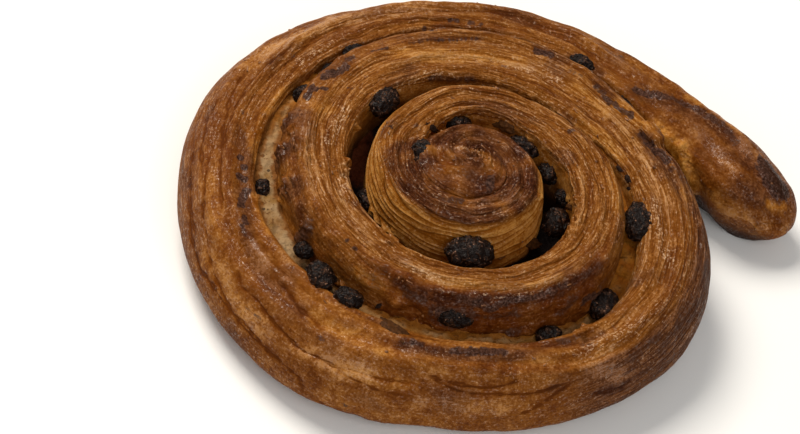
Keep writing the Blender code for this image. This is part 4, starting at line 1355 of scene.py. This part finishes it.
def make_flakes(grid, normals):
    """Thin curled flakes of crust that lie on the dough."""
    random = np.random.default_rng(7)
    top = slice(FIRST_TOP + 2, LAST_TOP - 1)
    points, facing = grid["points"][:, top].reshape(-1, 3), normals[:, top].reshape(-1, 3)
    along = np.gradient(grid["points"], axis=0)[:, top].reshape(-1, 3)
    steps = np.linalg.norm(along, axis=1)
    verts, faces = [], []
    for place in random.choice(len(points), FLAKES, p=steps / steps.sum()):
        normal, run = facing[place], along[place] / max(steps[place], NEARLY_ZERO)
        side = np.cross(normal, run)
        spin = random.normal(0, FLAKE_SPIN)
        run, side = run * math.cos(spin) + side * math.sin(spin), side * math.cos(spin) - run * math.sin(spin)
        length, width = random.uniform(*FLAKE_LENGTH), random.uniform(*FLAKE_WIDTH)
        lift, curl = random.uniform(*FLAKE_LIFT), random.uniform(*FLAKE_LIFT)
        base = len(verts)
        rim = []
        for a in (-1, -0.4, 0.4, 1):
            for b in (-1, 1):
                ragged = 1 + random.uniform(-FLAKE_RAGGED, FLAKE_RAGGED)
                rise = 0.05 + lift * (b + 1) / 2 + curl * a * a
                rim.append(points[place] + run * a * length / 2 * ragged + side * b * width / 2 * ragged
                           + normal * rise * width)
        verts += rim + [p - normal * FLAKE_THICKNESS for p in rim]
        for k in range(3):
            q = base + 2 * k
            faces += [[q, q + 2, q + 3, q + 1], [q + 8, q + 9, q + 11, q + 10],
                      [q, q + 8, q + 10, q + 2], [q + 1, q + 3, q + 11, q + 9]]
        faces += [[base, base + 1, base + 9, base + 8], [base + 6, base + 14, base + 15, base + 7]]
    add_piece("crust_flakes", verts, faces, flake_crust())


def make_crumbs(grid):
    """Crumbs of crust on the crests and in the grooves."""
    random = np.random.default_rng(8)
    points = grid["points"][:, FIRST_TOP - 4:LAST_TOP - 7].reshape(-1, 3)
    ball, triangles = ball_of(CRUMB_BALL)
    verts, faces = [], []
    for place in random.choice(len(points), CRUMBS):
        size = random.uniform(*CRUMB_SIZE) * random.uniform(0.7, 1.3, 3)
        lump = ball * size * random.uniform(0.75, 1.25, (len(ball), 1)) + points[place]
        faces += (triangles + len(verts)).tolist()
        verts += list(lump)
    add_piece("crumbs", verts, faces, flake_crust())


def make_camera():
    """A camera that sees the pastry as the picture does, rolled, and with the spiral's eye at its pixel."""
    rise, roll = CAMERA_RISE, CAMERA_ROLL
    eye = Vector((EYE_X, EYE_Y, 0)) * MM
    up = Vector((0, math.sin(rise), math.cos(rise)))
    place = eye + CAMERA_DISTANCE * Vector((0, -math.cos(rise), math.sin(rise)))
    across, down = ((PICTURE[i] / 2 - EYE_PIXEL[i]) / PIXELS_PER_METRE for i in (0, 1))
    aim = eye + (across * math.cos(roll) + down * math.sin(roll)) * Vector((1, 0, 0))
    aim = aim + (across * math.sin(roll) - down * math.cos(roll)) * up
    back = (place - aim).normalized()
    right = math.cos(roll) * Vector((1, 0, 0)) + math.sin(roll) * up
    right = (right - right.dot(back) * back).normalized()
    lens = bpy.data.cameras.new("camera")
    lens.sensor_width = SENSOR
    lens.lens = PIXELS_PER_METRE * CAMERA_DISTANCE * SENSOR / PICTURE[0]
    lens.clip_start = 0.01
    camera = bpy.data.objects.new("camera", lens)
    camera.matrix_world = Matrix((right, back.cross(right), back)).transposed().to_4x4()
    camera.matrix_world.translation = place
    bpy.context.scene.collection.objects.link(camera)
    bpy.context.scene.camera = camera


def make_light(name, place, size, power, colour):
    """A soft square light that faces the pastry."""
    lamp = bpy.data.lights.new(name, "AREA")
    lamp.size = size
    lamp.energy = power
    lamp.color = colour
    obj = bpy.data.objects.new(name, lamp)
    obj.location = place
    obj.rotation_euler = (-Vector(place)).to_track_quat("-Z", "Y").to_euler()
    bpy.context.scene.collection.objects.link(obj)


def make_studio():
    """A pale floor under a soft sky, and the two lights."""
    bpy.ops.mesh.primitive_plane_add(size=FLOOR_SIZE, location=(0, 0, 0))
    floor = bpy.context.object
    floor.name = "floor"
    material, tree, shader = new_material("pale floor")
    set_shader(tree, shader, Base_Color=FLOOR, Roughness=0.9)
    floor.data.materials.append(material)
    world = bpy.data.worlds.new("studio")
    world.use_nodes = True
    background = world.node_tree.nodes["Background"]
    background.inputs[0].default_value = SKY
    background.inputs[1].default_value = SKY_STRENGTH
    bpy.context.scene.world = world
    for name, (place, size, power, colour) in LIGHTS.items():
        make_light(name, place, size, power, colour)
    bpy.context.scene.view_settings.view_transform = "Standard"


def main():
    """The camera, then every piece of the pastry from the dough outwards, then the floor and the lights."""
    make_camera()
    grid, normals = make_dough()
    make_cream()
    make_raisins()
    make_flakes(grid, normals)
    make_crumbs(grid)
    make_blisters(grid, normals)
    make_studio()


main()
